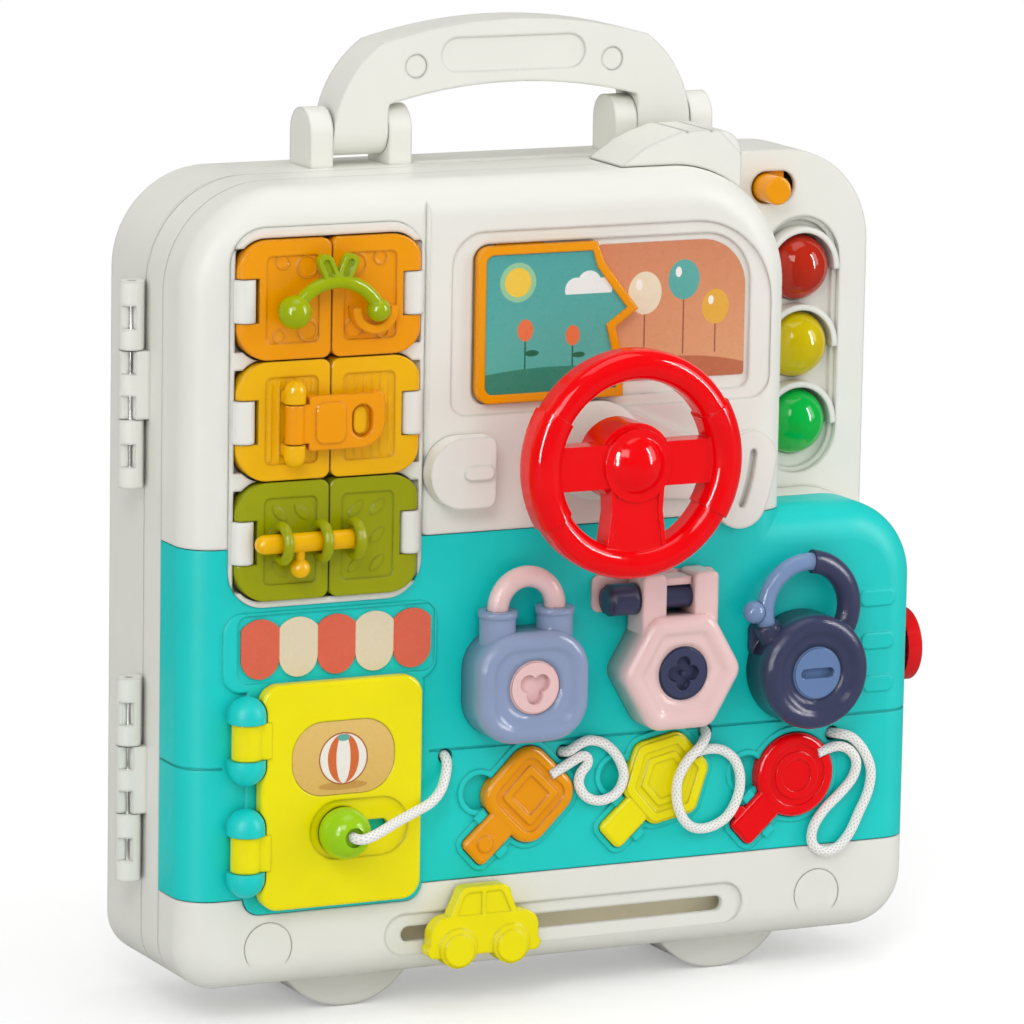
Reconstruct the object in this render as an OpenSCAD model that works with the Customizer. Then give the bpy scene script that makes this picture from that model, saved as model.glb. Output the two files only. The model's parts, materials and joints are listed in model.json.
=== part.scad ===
// Folding bus-shaped activity case: two hollow halves hinged on the left side, a carrying handle,
// a cab with a steering wheel, little doors with latches, three padlocks with keys and a toy car.
// X is to the right, Y to the back, Z up. Local Y = 0 is the flat front face of the front half.

/* [Case] */
// Width of the case
case_w = 280; // [276:1:290]
// Height of the case body without its feet and handle
body_h = 275; // [275:1:285]
// Ground clearance under the body
body_z = 13; // [11:0.5:15]
// Depth of the front half
front_d = 38.8; // [38:0.2:42]
// Depth of the rear half
rear_d = 34.8; // [33:0.2:40]
// Gap between the two closed halves
split_gap = 0.4; // [0.3:0.1:0.8]
// Depth of the coloured covers on the front half
cover_d = 24; // [23:0.5:26]
// Wall of all shells
wall = 2.2; // [2:0.1:2.6]
// Rounding of the front edges
edge_r = 12; // [9:0.5:13]
// Rounding of the rear edges
rear_edge_r = 6; // [4:0.5:8]
// Right edge of the cab
cab_x = 87; // [85:1:88]
// Radius of the cab's upper right corner
cab_r = 42; // [36:1:46]
// Radius of the upper left corner
roof_r = 36; // [32:1:40]
// Height of the bonnet over the floor
hood_z = 167; // [165:0.5:168]
// Radius of the bonnet's corner
hood_r = 28; // [24:1:32]
// Top of the bumper over the floor
bumper_z = 46; // [45:0.5:47]
// Radius of the lower left corner
low_left_r = 15; // [14:1:18]
// Radius of the lower right corner
low_right_r = 20; // [16:1:24]

/* [Feet] */
// Radius of the wheel-shaped feet
foot_r = 28; // [26:1:30]
// Distance of each foot from the middle
foot_x = 72; // [66:1:78]
// Reach of each half's foot from the split
foot_d = 20.8; // [18:0.2:24]

/* [Case hinge] */
// Distance of the hinge axis from the side wall
hinge_out = 5; // [4.8:0.1:6]
// Radius of the hinge barrels
barrel_r = 4.3; // [3.8:0.1:4.5]
// Radius of the hinge pins
pin_r = 1.5; // [1.3:0.1:1.8]
// Length of one hinge
hinge_len = 71; // [66:1:76]
// Height of the lower hinge's lower end
hinge_low_z = 46.5; // [44:0.5:50]
// Height of the upper hinge's lower end
hinge_high_z = 183; // [178:0.5:188]

/* [Handle] */
// Height of the handle's top over the roof
handle_rise = 49; // [46:1:54]
// Depth of the handle and its ears
handle_d = 17; // [15:0.5:19]
// Outer half width of the handle
handle_out = 68.2; // [66:0.2:70]
// Width of each leg
leg_w = 20.4; // [18:0.2:22]
// Thickness of the ears
ear_t = 8.5; // [7:0.5:10]
// Height of the handle axis over the roof
ear_rise = 11.5; // [10.5:0.5:12]
// Thickness of the grip
grip_t = 22; // [19:0.5:24]

/* [Doors] */
// Middle line of the three pairs of doors
door_x = -90.2; // [-92:0.2:-89]
// Distance from the middle line to each door axis
door_reach = 30.8; // [30:0.1:31.2]
// Height of one row of doors
row_h = 41; // [40:0.2:41]
// Lower edge of the lowest row
row_z = 149; // [148.6:0.2:150]
// Thickness of the doors
leaf_t = 6; // [5:0.2:7]
// Stand-out of the doors
leaf_out = 3.5; // [3:0.1:4]
// Outer corner radius of the doors
leaf_r = 11; // [9:0.5:13]

/* [Hatch] */
// Left edge of the hatch
hatch_x = -115.3; // [-115.6:0.1:-115]
// Width of the hatch
hatch_w = 59.8; // [58:0.2:60]
// Lower edge of the hatch
hatch_z = 42.3; // [41.5:0.1:43]
// Height of the hatch
hatch_h = 78.2; // [77:0.2:79]
// Thickness of the hatch
hatch_t = 4.6; // [4:0.2:6]

/* [Steering] */
// Outer radius of the steering wheel
wheel_r = 39.5; // [38:0.5:40]
// Half width of the rim
rim_r = 5.2; // [4.6:0.1:6]
// Depth of the rim
rim_d = 15; // [12:0.5:16]
// Stand-out of the rim's front
rim_out = 36; // [34:0.5:38]
// Wheel axis, to the right of the middle
wheel_x = 10.8; // [10:0.2:12]
// Wheel axis over the floor
wheel_z = 193; // [192.5:0.5:194]

/* [Padlocks] */
// Stand-out of the padlock bodies
lock_out = 15; // [13:0.5:16]
// Centre of the left padlock
lock_x = -17.6; // [-18:0.1:-17]
// Padlock centres over the floor
lock_z = 114.6; // [113:0.2:116]
// Width of the square padlock
square_w = 41.5; // [39:0.5:43]
// Radius of the turning cores
core_r = 9.4; // [8:0.1:9.4]
// Tube radius of the left shackle
shackle_r = 3.7; // [3.3:0.1:4]

/* [Keys] */
// Thickness of the keys
key_t = 5.5; // [5:0.1:6.5]
// Depth of the key pockets
pocket_d = 2.5; // [2:0.1:3]
// Width of the key blades
blade_w = 11.5; // [10:0.5:12.5]
// Length of the keys from bow centre to tip
key_len = 29.6; // [28:0.2:31]

/* [Hidden] */
$fn = 64;

fit = 0.3;
slip = 0.1;
press = 0.05;
// by which a corner's arc crosses its straight sides
graze = 0.02;
half_w = case_w / 2;
body_top = body_z + body_h;
rear_y = front_d + split_gap;
back_y = rear_y + rear_d;
split_y = front_d + split_gap / 2;
hinge_x = -half_w - hinge_out;
seam = 0.3;

dial_r = 13;
dial_t = 5.4;
dial_y = 19.5;
dial_z = 111.5;

frame_x = (half_w + fit + dial_t + hinge_x - barrel_r) / 2;
hub_out = rim_out + 2.6;
frame_y = (back_y - hub_out) / 2;

module placed() translate([-frame_x, -frame_y, 0]) children();

// an outline drawn in X and Z, extruded from depth y0 to y1
module plate(y0, y1) translate([0, y1, 0]) rotate([90, 0, 0]) linear_extrude(y1 - y0) children();

// a profile of radius and stand-out, turned about an axis along Y
module turned(x, z, y = 0) translate([x, y, z]) rotate([90, 0, 0]) rotate_extrude() children();

// a straight round bar along Y, X or Z
module bar_y(x, z, y0, y1, r) translate([x, y1, z]) rotate([90, 0, 0]) cylinder(r = r, h = y1 - y0);
module bar_x(x0, x1, y, z, r) translate([x0, y, z]) rotate([0, 90, 0]) cylinder(r = r, h = x1 - x0);
module bar_z(x, y, z0, z1, r) translate([x, y, z0]) cylinder(r = r, h = z1 - z0);

module block(x0, x1, y0, y1, z0, z1) translate([x0, y0, z0]) cube([x1 - x0, y1 - y0, z1 - z0]);

// outline with corner radii in the order lower left, lower right, upper right, upper left
module corners(x0, x1, z0, z1, r) {
    polygon([
        [x0 + r[0], z0], [x1 - r[1], z0], [x1, z0 + r[1]], [x1, z1 - r[2]],
        [x1 - r[2], z1], [x0 + r[3], z1], [x0, z1 - r[3]], [x0, z0 + r[0]]
    ]);
    translate([x0 + r[0], z0 + r[0]]) circle(r[0]);
    translate([x1 - r[1], z0 + r[1]]) circle(r[1]);
    translate([x1 - r[2], z1 - r[2]]) circle(r[2]);
    translate([x0 + r[3], z1 - r[3]]) circle(r[3]);
}
module rounded(x0, x1, z0, z1, r) corners(x0, x1, z0, z1, [r, r, r, r]);
module stadium(x0, x1, z0, z1) rounded(x0, x1, z0, z1, min(z1 - z0, x1 - x0) / 2 - 0.01);

// one quarter of the rounded edge that runs round an outline's corner
module corner_bead(x, z, r, e, turn)
    translate([x, e, z]) rotate([90, 0, 0]) rotate([0, 0, turn])
        rotate_extrude(angle = 90) intersection() {
            translate([r - e, 0]) circle(e);
            square([r, e]);
        }

// a slab of the outline above, from Y = 0 back to y1, with its front edges rounded by e
module slab(x0, x1, z0, z1, r, e, y1) {
    plate(0, y1) corners(x0 + e, x1 - e, z0 + e, z1 - e, [for (k = r) k - e]);
    plate(e, y1) corners(x0, x1, z0, z1, r);
    bar_x(x0 + r[0], x1 - r[1], e, z0 + e, e);
    bar_x(x0 + r[3], x1 - r[2], e, z1 - e, e);
    bar_z(x0 + e, e, z0 + r[0], z1 - r[3], e);
    bar_z(x1 - e, e, z0 + r[1], z1 - r[2], e);
    corner_bead(x0 + r[0], z0 + r[0], r[0], e, 180);
    corner_bead(x1 - r[1], z0 + r[1], r[1], e, 270);
    corner_bead(x1 - r[2], z1 - r[2], r[2], e, 0);
    corner_bead(x0 + r[3], z1 - r[3], r[3], e, 90);
}
module raised_slab(x0, x1, z0, z1, r, e, out, back)
    translate([0, -out, 0]) slab(x0, x1, z0, z1, [r, r, r, r], e, out + back);

// half the outline of a disc of radius r and height t, its edge rounded by e
module soft_profile(r, e, t) {
    if (r > e) square([r - e, t]);
    if (t > e) square([r, t - e]);
    translate([r - e, t - e]) intersection() {
        circle(e);
        square(e);
    }
}

/* ---- the two halves ---- */

// the front half as one body, shrunk by t on every outer face
module front_body(t) translate([0, t, 0]) {
    slab(-half_w + t, cab_x - t, body_z + t, body_top - t,
        [low_left_r - t, low_left_r - t, cab_r - t, roof_r - t], edge_r - t, front_d);
    slab(-half_w + t, half_w - t, body_z + t, hood_z - t,
        [low_left_r - t, low_right_r - t, hood_r - t, low_left_r - t], edge_r - t, front_d);
}
module front_outline(t) {
    corners(-half_w + t, cab_x - t, body_z + t, body_top - t,
        [low_left_r - t, low_left_r - t, cab_r - t, roof_r - t]);
    corners(-half_w + t, half_w - t, body_z + t, hood_z - t,
        [low_left_r - t, low_right_r - t, hood_r - t, low_left_r - t]);
}
module zone(z0, z1) block(-half_w - 20, half_w + 20, -1, cover_d, z0, z1);

module foot_outline(top) intersection() {
    translate([0, foot_r]) circle(foot_r);
    translate([-foot_r, 0]) square([2 * foot_r, top]);
}
// a half wheel under the body, its free end rounded
module foot(y0, y1, top) for (s = [-1, 1]) translate([s * foot_x, 0, 0]) plate(y0, y1) foot_outline(top);

// knuckle k of three in both hinges, with windows that show the pin
knuckle_h = hinge_len / 3;
module barrel(k, side) for (z = [hinge_low_z, hinge_high_z]) difference() {
    union() {
        bar_z(hinge_x, split_y, z + k * knuckle_h + 0.15, z + (k + 1) * knuckle_h - 0.15, barrel_r);
        translate([hinge_x, 0, z + k * knuckle_h + 0.15])
            translate([0, side > 0 ? split_y + 0.2 : split_y - barrel_r, 0])
                cube([hinge_out + wall, barrel_r - 0.2, knuckle_h - 0.3]);
    }
    bar_z(hinge_x, split_y, z - 1, z + hinge_len + 1, pin_r + press);
    pin_windows(k, z);
}
module pin_windows(k, z) {
    lows = k == 1 ? [0.15, knuckle_h - 8.15] : [7.3];
    for (low = lows) block(hinge_x - barrel_r, hinge_x, split_y - 3 * pin_r, split_y - pin_r + 0.4,
        z + k * knuckle_h + low, z + k * knuckle_h + low + 8);
}

module hinge_pins() color("silver") placed() for (z = [hinge_low_z, hinge_high_z])
    bar_z(hinge_x, split_y, z + 0.5, z + hinge_len - 0.5, pin_r);

/* ---- front half shells ---- */

tray_y = cover_d + seam;
module front_tray() color("white") placed() {
    difference() {
        plate(tray_y, front_d) front_outline(0);
        plate(tray_y - 1, front_d - wall) front_outline(wall);
    }
    foot(split_y - split_gap / 2 - foot_d, front_d, body_z - fit);
    foot(tray_y, front_d, body_z + 1);
    barrel(1, -1);
    for (p = boss_points) difference() {
        bar_y(p[0], p[1], tray_y, front_d - 1, boss_r);
        bar_y(p[0], p[1], tray_y - 1, front_d + 1, screw_r);
    }
}

boss_r = 4;
screw_r = 1.5;
boss_points = [[-half_w + 14, 60], [-half_w + 14, 240], [cab_x - 16, 225], [half_w - 16, 60], [-20, 60]];

crease_x = -53.6;
crease_w = 2;
frame_x0 = door_x - door_reach - 4.8;
frame_x1 = door_x + door_reach + 4.8;
frame_z0 = row_z - 2.4;
frame_z1 = row_z + 3 * row_h + 3.6;
frame_r = 13;
tile_x0 = -35.2;
tile_z0 = 211.4;
tile_z1 = 265.4;
screen_x0 = -36;
screen_x1 = 70.5;
screen_r = 18;

module upper_cover() color("white") placed() difference() {
    union() {
        difference() {
            intersection() {
                front_body(0);
                zone(hood_z + seam, body_top + 1);
            }
            front_body(wall);
        }
        intersection() {
            plate(2, 4.4) rounded(screen_x0 - 3, screen_x1 + 3, tile_z0 - 3, tile_z1 + 3, 10);
            front_body(1);
        }
        turned(wheel_x, wheel_z, 12) translate([4.2, 0]) square([4, 11]);
    }
    // crease between the coach part and the cab
    translate([crease_x, 0, hood_z - 1]) rotate([0, 0, 45])
        translate([-crease_w / 2, -crease_w / 2, 0]) cube([crease_w, crease_w, body_top]);
    plate(-1, 8) rounded(frame_x0 - slip, frame_x1 + slip, hood_z - 20, frame_z1 + slip, frame_r);
    // stepped window recess
    plate(-1, 1) corners(screen_x0 - 8, screen_x1 + 8, tile_z0 - 4, tile_z1 + 5, [6, 8, screen_r + 12, 12]);
    plate(-1, 2.3) corners(screen_x0, screen_x1, tile_z0 - 0.4, tile_z1 + 0.6, [5, 4, screen_r, 6]);
    // tracks of the sliding window tile
    block(tile_x0 + 6, tile_x0 + 28 + tile_travel, 1.6, 2.3, tile_z0 - 2.6, tile_z1 + 2.6);
    bar_y(wheel_x, wheel_z, -1, 14, 4);
    bar_y(dash_x, dash_z, -1, 14, 4);
}

dash_x = -42;
dash_z = 189;

vent_x0 = 116;
vent_x1 = 130.4;
groove_z = 91.5;
rim_w = 2.2;
rim_h = 0.7;
// raised panel under the hatch, grown by t
module hatch_panel(t, back) raised_slab(hatch_x - 3.7 - t, hatch_x + hatch_w + 3 + t, panel_z0 - t, panel_z1 + t, 6 + t, 1, 1.2, back);

module lower_cover() color("turquoise") placed() {
    lower_shell();
    for (z = strap_zs) hatch_lugs(z);
    for (k = bow_names) key_clips(k);
}
module lower_shell() difference() {
    union() {
        difference() {
            intersection() {
                front_body(0);
                zone(bumper_z, hood_z - 0.01);
            }
            front_body(wall);
        }
        // raised panels round the awning and the hatch
        raised_slab(-127.5, -48, 117.5, frame_z0 - 1.6, 7, 1, 1.2, 1);
        hatch_panel(0, wall);
        // bonnet vents
        for (k = [0:2]) raised_slab(vent_x0 + k, vent_x1, 130.1 - 15.4 * k, 136.1 - 15.4 * k, 2.9, 0.6, 0.7, 1);
        // pocket floors
        plate(1, pocket_d + wall) pocket_outlines(wall);
        // raised rims round the pockets
        plate(-rim_h, 1) pocket_outlines(rim_w);
        for (p = cord_starts) bar_y(p[0], p[2], 1, p[1] + 1.6, 4);
    }
    plate(-1, 8) rounded(frame_x0 - slip, frame_x1 + slip, frame_z0 - slip, hood_z + 40, frame_r);
    plate(-3, -0.3) rounded(awning_x0 - 1.5, awning_x1 + 1.5, awning_z0 - 1.5, awning_z1 + 1.5, 4);
    plate(-rim_h - 1, pocket_d) pocket_outlines(fit);
    for (p = cord_starts) bar_y(p[0], p[2], -3, p[1], cord_r + 0.95);
    for (p = lock_points) bar_y(p[0], p[1], -1, 12, stud_r + slip);
    for (z = strap_zs) strap_clearance(z);
    bar_x(half_w - 8, half_w + 1, dial_y, dial_z, 3.2);
    // keyhole sight through the hatch panel
    bar_y(hole_x, hole_z, -3, 6, hole_r + 1);
    // moulded groove round the body
    difference() {
        block(-half_w - 1, half_w + 1, -0.01, cover_d, groove_z, groove_z + 0.8);
        front_body(0.6);
        block(-127, -50, -2, 2, groove_z - 1, groove_z + 2);
    }
}

slot_x0 = -59.3;
slot_x1 = 64.8;
slot_z0 = 25.2;
slot_z1 = 30.6;
module bumper() color("white") placed() difference() {
    union() {
        difference() {
            intersection() {
                front_body(0);
                zone(body_z - 1, bumper_z - seam);
            }
            front_body(wall);
        }
        plate(1, 3.4) stadium(slot_x0 - 7, slot_x1 + 8, slot_z0 - 5, slot_z1 + 5);
    }
    plate(-1, 1) stadium(slot_x0 - 6.4, slot_x1 + 7.5, slot_z0 - 4.6, slot_z1 + 4.6);
    plate(-2, 6) stadium(slot_x0, slot_x1, slot_z0, slot_z1);
    hatch_panel(seam, wall + 2);
    // round screw covers
    for (x = [-109.5, 101.8]) difference() {
        bar_y(x, 28.2, -1, 0.4, 9);
        bar_y(x, 28.2, -2, 1, 8.6);
    }
}

// box on the cab roof over the closing edge
box_x0 = 20.5;
box_x1 = 72;
box_h = 11.6;
box_r = 9;
module roof_box() color("white") placed() difference() {
    plate(edge_r + 1, front_d - 2 * fit) {
        polygon([
            [box_x0, body_top - 20], [box_x0, body_top - 3], [box_x0 + 6, body_top + 1], [box_x0 + 14, body_top + 6.4],
            [box_x0 + 20.3, body_top + box_h - 2.6], [box_x0 + 28, body_top + box_h], [box_x1 - box_r, body_top + box_h],
            [box_x1, body_top + box_h - box_r], [box_x1, body_top - 20]
        ]);
        translate([box_x1 - box_r, body_top + box_h - box_r]) circle(box_r + graze);
    }
    front_body(-fit);
    for (x = [50.4, 59.7]) block(x, x + 0.9, edge_r, front_d + 1, body_top + box_h - 0.6, body_top + box_h + 1);
}

module side_dial() color("red") placed() difference() {
    union() {
        bar_x(half_w + fit, half_w + fit + dial_t, dial_y, dial_z, dial_r);
        bar_x(half_w - wall - 3, half_w + fit + 1, dial_y, dial_z, 3);
    }
    for (r = [6, 9.6]) difference() {
        bar_x(half_w + dial_t - 0.5, half_w + dial_t + 1, dial_y, dial_z, r + 0.8);
        bar_x(half_w + dial_t - 1, half_w + dial_t + 2, dial_y, dial_z, r);
    }
}

/* ---- rear half ---- */

rear_r = 34;
rear_inset = 3.4;
rear_right = half_w - rear_inset;
signal_x = 110.5;
signal_z = 217.9;
signal_pitch = 27.6;
signal_half_w = 15.4;
signal_half_h = 46;
lens_r = 12;
lens_rim = 1.2;
dome_y = 2.4;
switch_x = 96;
switch_z = 274.6;
switch_travel = 5.5;
ear_z = body_top + ear_rise;
ear_y = rear_y + 6 + handle_d / 2;
ear_r = handle_d / 2 + 0.2;
cover_z0 = body_z + 12;
cover_z1 = body_top - 12;
cover_half = half_w - 12;
cover_t = 2.4;
cover_y = back_y - cover_t - 0.6;
rear_bosses = [[-110, 45], [-110, 255], [72, 262], [110, 45], [0, 45]];

module rear_body(t) translate([0, back_y - t, 0]) mirror([0, 1, 0])
    slab(-half_w + t, rear_right - t, body_z + t, body_top - t,
        [low_left_r - t, low_right_r - t, rear_r - t, rear_r - t], rear_edge_r - min(t, rear_edge_r - 1),
        rear_d - 2 * t);

// one ear of the handle, from x0 to x1
module ear(x0, x1) {
    bar_x(x0, x1, ear_y, ear_z, ear_r);
    block(x0, x1, ear_y - ear_r, ear_y + ear_r, body_top - 3, ear_z);
}

module rear_case() color("white") placed() {
    difference() {
        union() {
            rear_body(0);
            foot(rear_y, split_y + split_gap / 2 + foot_d, body_z + 1);
            for (s = [-1, 1]) {
                ear(s > 0 ? handle_out - leg_w - ear_t - fit : -(handle_out - leg_w - fit),
                    s > 0 ? handle_out - leg_w - fit : -(handle_out - leg_w - ear_t - fit));
                ear(s > 0 ? handle_out + fit : -(handle_out + fit + ear_t),
                    s > 0 ? handle_out + fit + ear_t : -(handle_out + fit));
            }
        }
        // hollow, open to the rear
        plate(rear_y + wall, cover_y - 2) corners(-half_w + wall, rear_right - wall, body_z + wall, body_top - wall - 3,
            [low_left_r, low_right_r, rear_r - 2, rear_r - 2]);
        plate(cover_y - 3, cover_y + 1) rounded(-cover_half + 4, cover_half - 4, cover_z0 + 4, cover_z1 - 4, 12);
        plate(cover_y, back_y + 1) rounded(-cover_half, cover_half, cover_z0, cover_z1, 16);
        // well of the signal lamps and slot of the switch
        plate(rear_y - 1, rear_y + 8)
            stadium(signal_x - signal_half_w, signal_x + signal_half_w, signal_z - signal_half_h, signal_z + signal_half_h);
        plate(rear_y - 1, rear_y + 8)
            stadium(switch_x - 6, switch_x + switch_travel + 6, switch_z - 5.8, switch_z + 5.8);
        for (s = [-1, 1]) bar_x(s * (handle_out - leg_w / 2) - pin_half, s * (handle_out - leg_w / 2) + pin_half,
            ear_y, ear_z, handle_pin_r + press);
        // moulded finger recess of the roof between the ears
        block(-36, 36, rear_y - 1, rear_y + 12, body_top - 1.2, body_top + 1);
    }
    barrel(0, 1);
    barrel(2, 1);
    for (p = rear_bosses) difference() {
        bar_y(p[0], p[1], rear_y + 1, cover_y, boss_r);
        bar_y(p[0], p[1], rear_y + 6, cover_y + 1, screw_r);
    }
}

battery_x = -40;
battery_z = 95;
battery_w = 58;
battery_h = 52;
battery_r = 5.25;
battery_len = 44.5;
module rear_cover() color("white") placed() difference() {
    union() {
        plate(cover_y + slip / 10, cover_y + cover_t) rounded(-cover_half + fit, cover_half - fit, cover_z0 + fit, cover_z1 - fit, 15.7);
        // battery tray
        plate(cover_y - 13, cover_y + 1) rounded(battery_x - 25, battery_x + 25, battery_z - 20, battery_z + 20, 2);
    }
    plate(cover_y + 0.8, back_y) rounded(battery_x - battery_w / 2, battery_x + battery_w / 2,
        battery_z - battery_h / 2, battery_z + battery_h / 2, 4);
    block(battery_x - battery_len / 2 - fit, battery_x + battery_len / 2 + fit, cover_y - 11.6, back_y,
        battery_z - 3 * battery_r - 0.6, battery_z + 3 * battery_r + 0.6);
    for (p = rear_bosses) {
        bar_y(p[0], p[1], cover_y - 1, back_y, screw_r + 0.2);
        bar_y(p[0], p[1], cover_y + 1.2, back_y, 3.6);
    }
    // sound holes
    for (k = [-3:3]) for (j = [-1:1]) bar_y(40 + 5 * k, 95 + 5 * j, cover_y - 1, back_y, 1.2);
}
module battery_door() color("white") placed() difference() {
    plate(cover_y + 0.9, cover_y + cover_t) rounded(battery_x - battery_w / 2 + fit, battery_x + battery_w / 2 - fit,
        battery_z - battery_h / 2 + fit, battery_z + battery_h / 2 - fit, 3.7);
    for (k = [0:3]) block(battery_x + 12 + 3 * k, battery_x + 13.2 + 3 * k, cover_y + cover_t - 0.5, back_y, battery_z - 8, battery_z + 8);
}
module batteries() color("dimgray") placed() for (k = [-1:1]) {
    bar_x(battery_x - battery_len / 2, battery_x + battery_len / 2 - 1.2, cover_y - 6, battery_z + 2 * battery_r * k, battery_r - 0.1);
    bar_x(battery_x + battery_len / 2 - 1.5, battery_x + battery_len / 2, cover_y - 6, battery_z + 2 * battery_r * k, 1.9);
}

housing_y = rear_y + 4;
module signal_housing() color("white") placed() {
    difference() {
        union() {
            plate(housing_y, housing_y + 2) stadium(signal_x - signal_half_w + slip, signal_x + signal_half_w - slip,
                signal_z - signal_half_h + slip, signal_z + signal_half_h - slip);
            plate(rear_y + wall + slip, housing_y + 2) difference() {
                stadium(signal_x - signal_half_w - 3, signal_x + signal_half_w + 3,
                    signal_z - signal_half_h - 3, signal_z + signal_half_h + 3);
                stadium(signal_x - signal_half_w + 1.6, signal_x + signal_half_w - 1.6,
                    signal_z - signal_half_h + 1.6, signal_z + signal_half_h - 1.6);
            }
            for (k = [-1:1]) hood_visor(signal_z + signal_pitch * k);
        }
        for (k = [-1:1]) bar_y(signal_x, signal_z + signal_pitch * k, housing_y - 1, housing_y + 3, lens_r + slip);
    }
    // posts that carry the lamp board, between the lamps
    for (k = [-1, 1]) for (j = [-1, 1])
        bar_y(signal_x + 11 * j, signal_z + signal_pitch / 2 * k, housing_y + 2 - slip, board_y, 1.6);
}
module hood_visor(z) difference() {
    bar_y(signal_x, z, rear_y - 1.6, housing_y + 1, lens_r + 2.6);
    bar_y(signal_x, z, rear_y - 2, housing_y + 2, lens_r + 0.5);
    block(signal_x - 20, signal_x + 20, rear_y - 3, housing_y, z - 20, z - 1);
}
// a clear dome with a flange behind the housing
module lens(k) {
    z = signal_z + signal_pitch * k;
    turned(signal_x, z, housing_y + 3.6) difference() {
        union() {
            intersection() {
                translate([0, dome_y]) circle(lens_r);
                square([lens_r + 1, lens_r + 4]);
            }
            square([lens_r, dome_y]);
            square([lens_r + lens_rim, 1.4]);
        }
        intersection() {
            translate([0, dome_y]) circle(lens_r - 1.4);
            square([lens_r + 1, lens_r + 4]);
        }
        translate([0, -1]) square([lens_r - 1.4, dome_y + 1]);
    }
}
module signal_red() color("red") placed() lens(1);
module signal_yellow() color("gold") placed() lens(0);
module signal_green() color("green") placed() lens(-1);

board_y = housing_y + 8;
module lamp_board() color("darkgreen") placed() {
    plate(board_y, board_y + 1.6) rounded(signal_x - 14.6, signal_x + 14.6, signal_z - 42, signal_z + 48, 2);
    for (k = [-1:1]) turned(signal_x, signal_z + signal_pitch * k, board_y) {
        square([2.5, 3.4]);
        intersection() {
            translate([0, 3.4]) circle(2.5);
            translate([0, 3]) square([3, 4]);
        }
    }
    plate(board_y, board_y + 1.6) rounded(switch_x - 4, max(switch_x + 12, signal_x), signal_z + 40, switch_z + 5, 2);
    block(switch_x - 3, switch_x + 11, board_y - 4, board_y, switch_z - 4, switch_z + 4);
}
module slide_switch() color("orange") placed() {
    turned(switch_x, switch_z, rear_y + wall + 3) union() {
        square([5, 14]);
        translate([0, 10]) square([4, 5]);
        translate([4, 14]) circle(1);
    }
    block(switch_x - 8, switch_x + 8, rear_y + wall + slip, rear_y + wall + 2, switch_z - 7, switch_z + 7);
}

/* ---- handle ---- */

handle_pin_r = 3;
pin_half = leg_w / 2 + ear_t - 2;
handle_top = body_top + handle_rise;
grip_low = handle_top - grip_t;
crown_r = 187;
// front view of the bail: rounded shoulders and a slightly arched grip
module bail_outline() difference() {
    intersection() {
        corners(-handle_out, handle_out, ear_z - ear_r, handle_top, [6, 6, 40, 40]);
        translate([0, handle_top - crown_r]) circle(crown_r, $fn = 180);
    }
    intersection() {
        corners(-handle_out + leg_w, handle_out - leg_w, ear_z - 30, grip_low, [1, 1, 9, 9]);
        translate([0, grip_low - crown_r]) circle(crown_r, $fn = 180);
    }
}
module handle() color("white") placed() difference() {
    intersection() {
        plate(ear_y - handle_d / 2, ear_y + handle_d / 2) bail_outline();
        union() {
            block(-100, 100, ear_y - 40, ear_y + 40, ear_z, handle_top + 10);
            bar_x(-100, 100, ear_y, ear_z, handle_d / 2);
        }
    }
    for (s = [-1, 1]) bar_x(s * (handle_out - leg_w / 2) - 20, s * (handle_out - leg_w / 2) + 20, ear_y, ear_z, handle_pin_r + press);
    // grip field and the wells of the two screw plugs
    plate(ear_y - handle_d / 2 - 1, ear_y - handle_d / 2 + 0.6) stadium(-28, 27, handle_top - 18, handle_top - 6);
    for (s = [-1, 1]) bar_y(s * 37.5, handle_top - 15.4, ear_y - handle_d / 2 - 1, ear_y - handle_d / 2 + 3, 4.1);
}
module handle_plugs() color("white") placed() for (s = [-1, 1])
    bar_y(s * 37.5, handle_top - 15.4, ear_y - handle_d / 2 + 0.4, ear_y - handle_d / 2 + 3, 4);
module handle_pins() color("silver") placed() for (s = [-1, 1])
    bar_x(s * (handle_out - leg_w / 2) - pin_half + slip, s * (handle_out - leg_w / 2) + pin_half - slip, ear_y, ear_z, handle_pin_r);

/* ---- doors ---- */

leaf_y0 = -leaf_out;
leaf_y1 = leaf_t - leaf_out;
axis_y = (leaf_y0 + leaf_y1) / 2;
floor_y = 9;
barrel_half = 7.25;
knuckle_r = 4;
turn_room = 3;
function row_mid(k) = row_z + (k + 0.5) * row_h;

module door_frame() color("white") placed() {
    difference() {
        plate(-0.8, floor_y + 2) rounded(frame_x0, frame_x1, frame_z0, frame_z1, frame_r - slip);
        for (k = [0:2]) plate(-2, floor_y) union() {
            rounded(door_x - door_reach - leaf_t / 2 - 0.4, door_x + door_reach + leaf_t / 2 + 0.4,
                row_z + k * row_h - 0.2, row_z + (k + 1) * row_h + 0.2, leaf_r - 0.4);
            rounded(door_x - 22, door_x + 22, row_z + k * row_h - 0.2, row_z + (k + 1) * row_h + 0.2, 1);
        }
        // room in which the round edges of the leaves turn
        for (k = [0:2]) for (s = [-1, 1]) bar_z(door_x + s * door_reach, axis_y,
            row_z + k * row_h + turn_room, row_z + (k + 1) * row_h - turn_room, leaf_t / 2 + 0.4);
    }
    for (k = [0:2]) for (s = [-1, 1]) difference() {
        union() {
            bar_z(door_x + s * door_reach, axis_y, row_mid(k) - barrel_half, row_mid(k) + barrel_half, knuckle_r);
            translate([door_x + s * door_reach - (s > 0 ? 3 : 3.6), axis_y, row_mid(k) - barrel_half])
                cube([6.6, floor_y - axis_y + 1, 2 * barrel_half]);
        }
        bar_z(door_x + s * door_reach, axis_y, row_mid(k) - barrel_half - 1, row_mid(k) + barrel_half + 1, 1.5);
    }
}

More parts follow.
